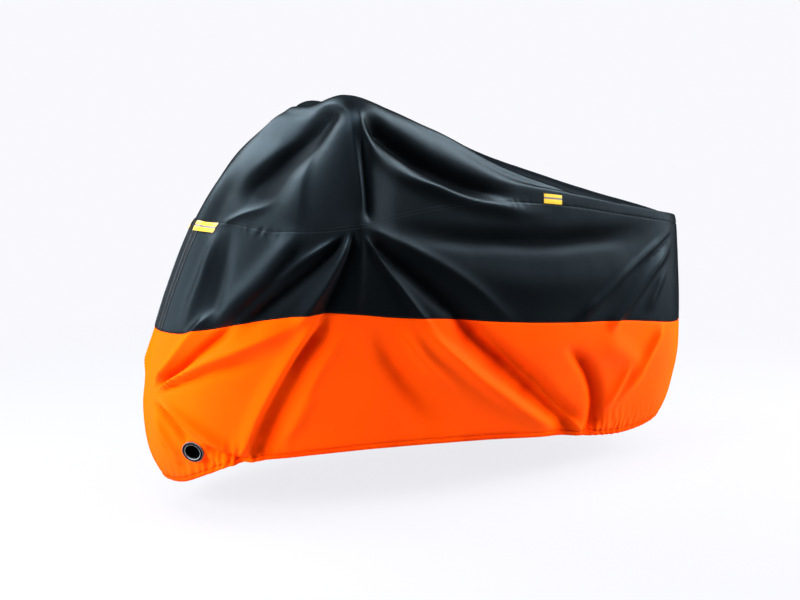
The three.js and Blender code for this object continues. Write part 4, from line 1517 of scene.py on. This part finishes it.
@dataclass
class Studio:
    """Pale floor, soft lights and the camera at the photograph's angle."""

    floor_height: float = -ORIGIN_HEIGHT * MM
    floor_half: float = 30.0
    floor_near: Pair = (1.4, 3.4)
    near_glow: float = 0.86
    paper: Colour = (0.945, 0.945, 0.985)
    target: tuple[float, float, float] = (0.35, 0.0, -0.55)
    camera_at: tuple[float, float, float] = (-1.581, -3.843, 0.145)
    azimuth: float = -25.6
    pitch: float = 10.37
    lens: float = 58.5
    sensor: float = 36.0
    bowl_radius: float = 0.031
    bowl_depth: float = 0.006
    bowl_rings: int = 8
    bowl_sides: int = 48

    def build(self) -> None:
        """Makes the whole studio."""
        self.camera()
        self.floor()
        self.world()
        for lamp in LAMPS:
            lamp.make(self.target)
        bpy.context.scene.view_settings.view_transform = "Standard"

    def camera(self) -> None:
        """The photograph's view."""
        data = bpy.data.cameras.new("Camera")
        data.lens, data.sensor_width = self.lens, self.sensor
        data.clip_end = 100.0
        camera = bpy.data.objects.new("Camera", data)
        camera.location = self.camera_at
        camera.rotation_euler = (math.radians(90.0 - self.pitch), 0.0, math.radians(self.azimuth))
        bpy.context.scene.collection.objects.link(camera)
        bpy.context.scene.camera = camera

    def floor(self) -> None:
        """A wide pale floor that glossy rays don't see. To the camera it glows like paper, a little
        less near the cover, where it also takes the soft shadow."""
        half = self.floor_half
        corners = np.array([(-half, -half), (half, -half), (half, half), (-half, half)])
        points = np.column_stack([corners, np.full(4, self.floor_height)])
        floor = new_object("Floor", points, np.arange(4), np.array([4]))
        material, graph = new_material("floor")
        pale = graph.out("BsdfDiffuse", 0, {"Color": (0.45, 0.45, 0.46, 1.0)})
        where = graph.out("TexCoord", "Object")
        away = graph.out("VectorMath", "Value", {0: where}, operation="LENGTH")
        near = graph.spread(away, self.floor_near, (1.0, 0.0))
        strength = graph.spread(near, (0.0, 1.0), (1.0, self.near_glow))
        soft = graph.out("BsdfDiffuse", 0, {"Color": (0.06, 0.06, 0.063, 1.0)})
        glow = graph.out("Emission", 0, {"Color": rgba(self.paper), "Strength": strength})
        faint = graph.out("MixShader", 0, {0: near, 2: soft})
        seen = graph.out("LightPath", "Is Camera Ray")
        both = graph.out("AddShader", 0, {0: faint, 1: glow})
        graph.surface("MixShader", {0: seen, 1: pale, 2: both})
        floor.data.materials.append(material)
        floor.visible_glossy = False

    def dark_inside(self, centre: Vector, axis: Vector, name: str) -> None:
        """A small matt black bowl close behind an eyelet, painted shade inside the cover: the floor beyond
        isn't seen through it.

        Its points lie at radius R * sin(a) and depth D + R * cos(a), for a from 90 degrees to 0.
        """
        count, sides = self.bowl_rings, self.bowl_sides
        steep = np.linspace(0.5 * math.pi, 0.0, count + 1)
        depth = self.bowl_depth + self.bowl_radius * np.cos(steep)
        profile = np.column_stack([self.bowl_radius * np.sin(steep), -depth])
        rings = turned(profile[:-1], sides, centre, axis)
        points = np.concatenate([rings, turned(profile[-1:], 1, centre, axis)])
        ids = closed_rings(count, sides)
        bands = quads(ids)
        tip = np.stack([ids[-1, :-1], ids[-1, 1:], np.full(sides, count * sides)], axis=1)
        corners = np.concatenate([bands.ravel(), tip.ravel()])
        sizes = np.concatenate([np.full(len(bands), 4), np.full(sides, 3)])
        bowl = new_object(name, points, corners, sizes)
        material, graph = new_material("dark inside")
        graph.surface("BsdfDiffuse", {"Color": (0.002, 0.002, 0.002, 1.0)})
        bowl.data.materials.append(material)

    def world(self) -> None:
        """Near-white to the camera, dim grey to every other ray."""
        world = bpy.data.worlds.new("studio")
        world.use_nodes = True
        graph = Graph(world.node_tree)
        white = graph.out("Background", 0, {"Color": rgba(self.paper), "Strength": 1.0})
        dim = graph.out("Background", 0, {"Color": (0.80, 0.90, 1.0, 1.0), "Strength": 0.02})
        seen = graph.out("LightPath", "Is Camera Ray")
        mixed = graph.out("MixShader", 0, {0: seen, 1: dim, 2: white})
        graph.add("OutputWorld", {"Surface": mixed})
        bpy.context.scene.world = world


def report(piece: Piece) -> None:
    """Logs a piece's name and triangles."""
    LOG.info("%s: %d triangles", piece.name, sum(len(face.vertices) - 2 for face in piece.data.polygons))


def sewn(drape: Drape, side: Side) -> list[Piece]:
    """All stitches of one side: at the seams, on the hem's casing and on the binding's bands."""
    stitching = Stitching(drape)
    dark = ThreadFinish("black thread", (0.006, 0.008, 0.010), (0.030, 0.038, 0.045)).material()
    warm = ThreadFinish("orange thread", (0.22, 0.010, 0.001), (0.55, 0.05, 0.003)).material()
    pale = ThreadFinish("grey thread", (0.10, 0.13, 0.15), (0.28, 0.34, 0.38)).material()
    seams, hem, bands = stitching.on_seams(side), stitching.on_hem(side), stitching.on_bands()
    return [
        stitching.make("SeamStitches", side, seams, dark, Slot.BLACK),
        stitching.make("HemStitches", side, hem, warm, Slot.ORANGE),
        stitching.make("BindingStitches", side, bands, pale, Slot.BINDING, lift=stitching.band_lift),
    ]


def main() -> None:
    """Builds the cover and its studio."""
    logging.basicConfig(level=logging.INFO, format="%(message)s")
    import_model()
    studio = Studio()
    studio.build()
    effects = Effects()
    black = ClothFinish(
        "black cloth",
        base=(0.0030, 0.0040, 0.0050), valley=(0.0010, 0.0014, 0.0018), faded=(0.0036, 0.0048, 0.0060),
        roughness=(0.44, 0.48), specular=0.29, gloss_tint=(0.52, 0.78, 1.0),
        sheen=0.01, sheen_tint=(0.6, 0.75, 0.9),
    ).material(effects)
    orange = ClothFinish(
        "orange cloth",
        base=(0.95, 0.066, 0.0005), valley=(0.50, 0.008, 0.0001), faded=(0.95, 0.072, 0.0005),
        roughness=(0.50, 0.55), specular=0.04, gloss_tint=(1.0, 0.8, 0.5),
        sheen=0.0, sheen_tint=(1.0, 0.7, 0.4),
    ).material(effects)
    tape = TapeFinish().material(effects)
    reflective = ReflectiveFinish().material(effects)
    ring = RingFinish().material()
    drape = Drape()
    panels = Panels(drape, black, orange, tape)
    eyelet = Eyelet()
    tags = (
        Tag("TagFront", "tag_front", (0.11, 0.66), (2.885, 3.01), FlatCut(0.040, 0.090, 0.0035)),
        Tag("TagRear", "tag_rear", (6.7, 7.01), (2.99, 3.22), FlatCut(0.040, 0.083, 0.0032)),
    )
    roof = panels.roof()
    report(roof)
    report(panels.binding(roof))
    for side in Side:
        panel = panels.side_panel(side, roof)
        report(panel)
        report(panels.skirt(side, panel))
        report(panels.nose_skirt(side, *eyelet.centre(drape, side), panel))
        report(eyelet.make(drape, side, ring))
        # Painted shade: a black bowl behind each eyelet.
        studio.dark_inside(*eyelet.centre(drape, side), f"DarkInside_{side.label}")
        for tag in tags:
            report(tag.make(drape, side, reflective, roof))
        for piece in sewn(drape, side):
            report(piece)


if __name__ == "__main__":
    main()
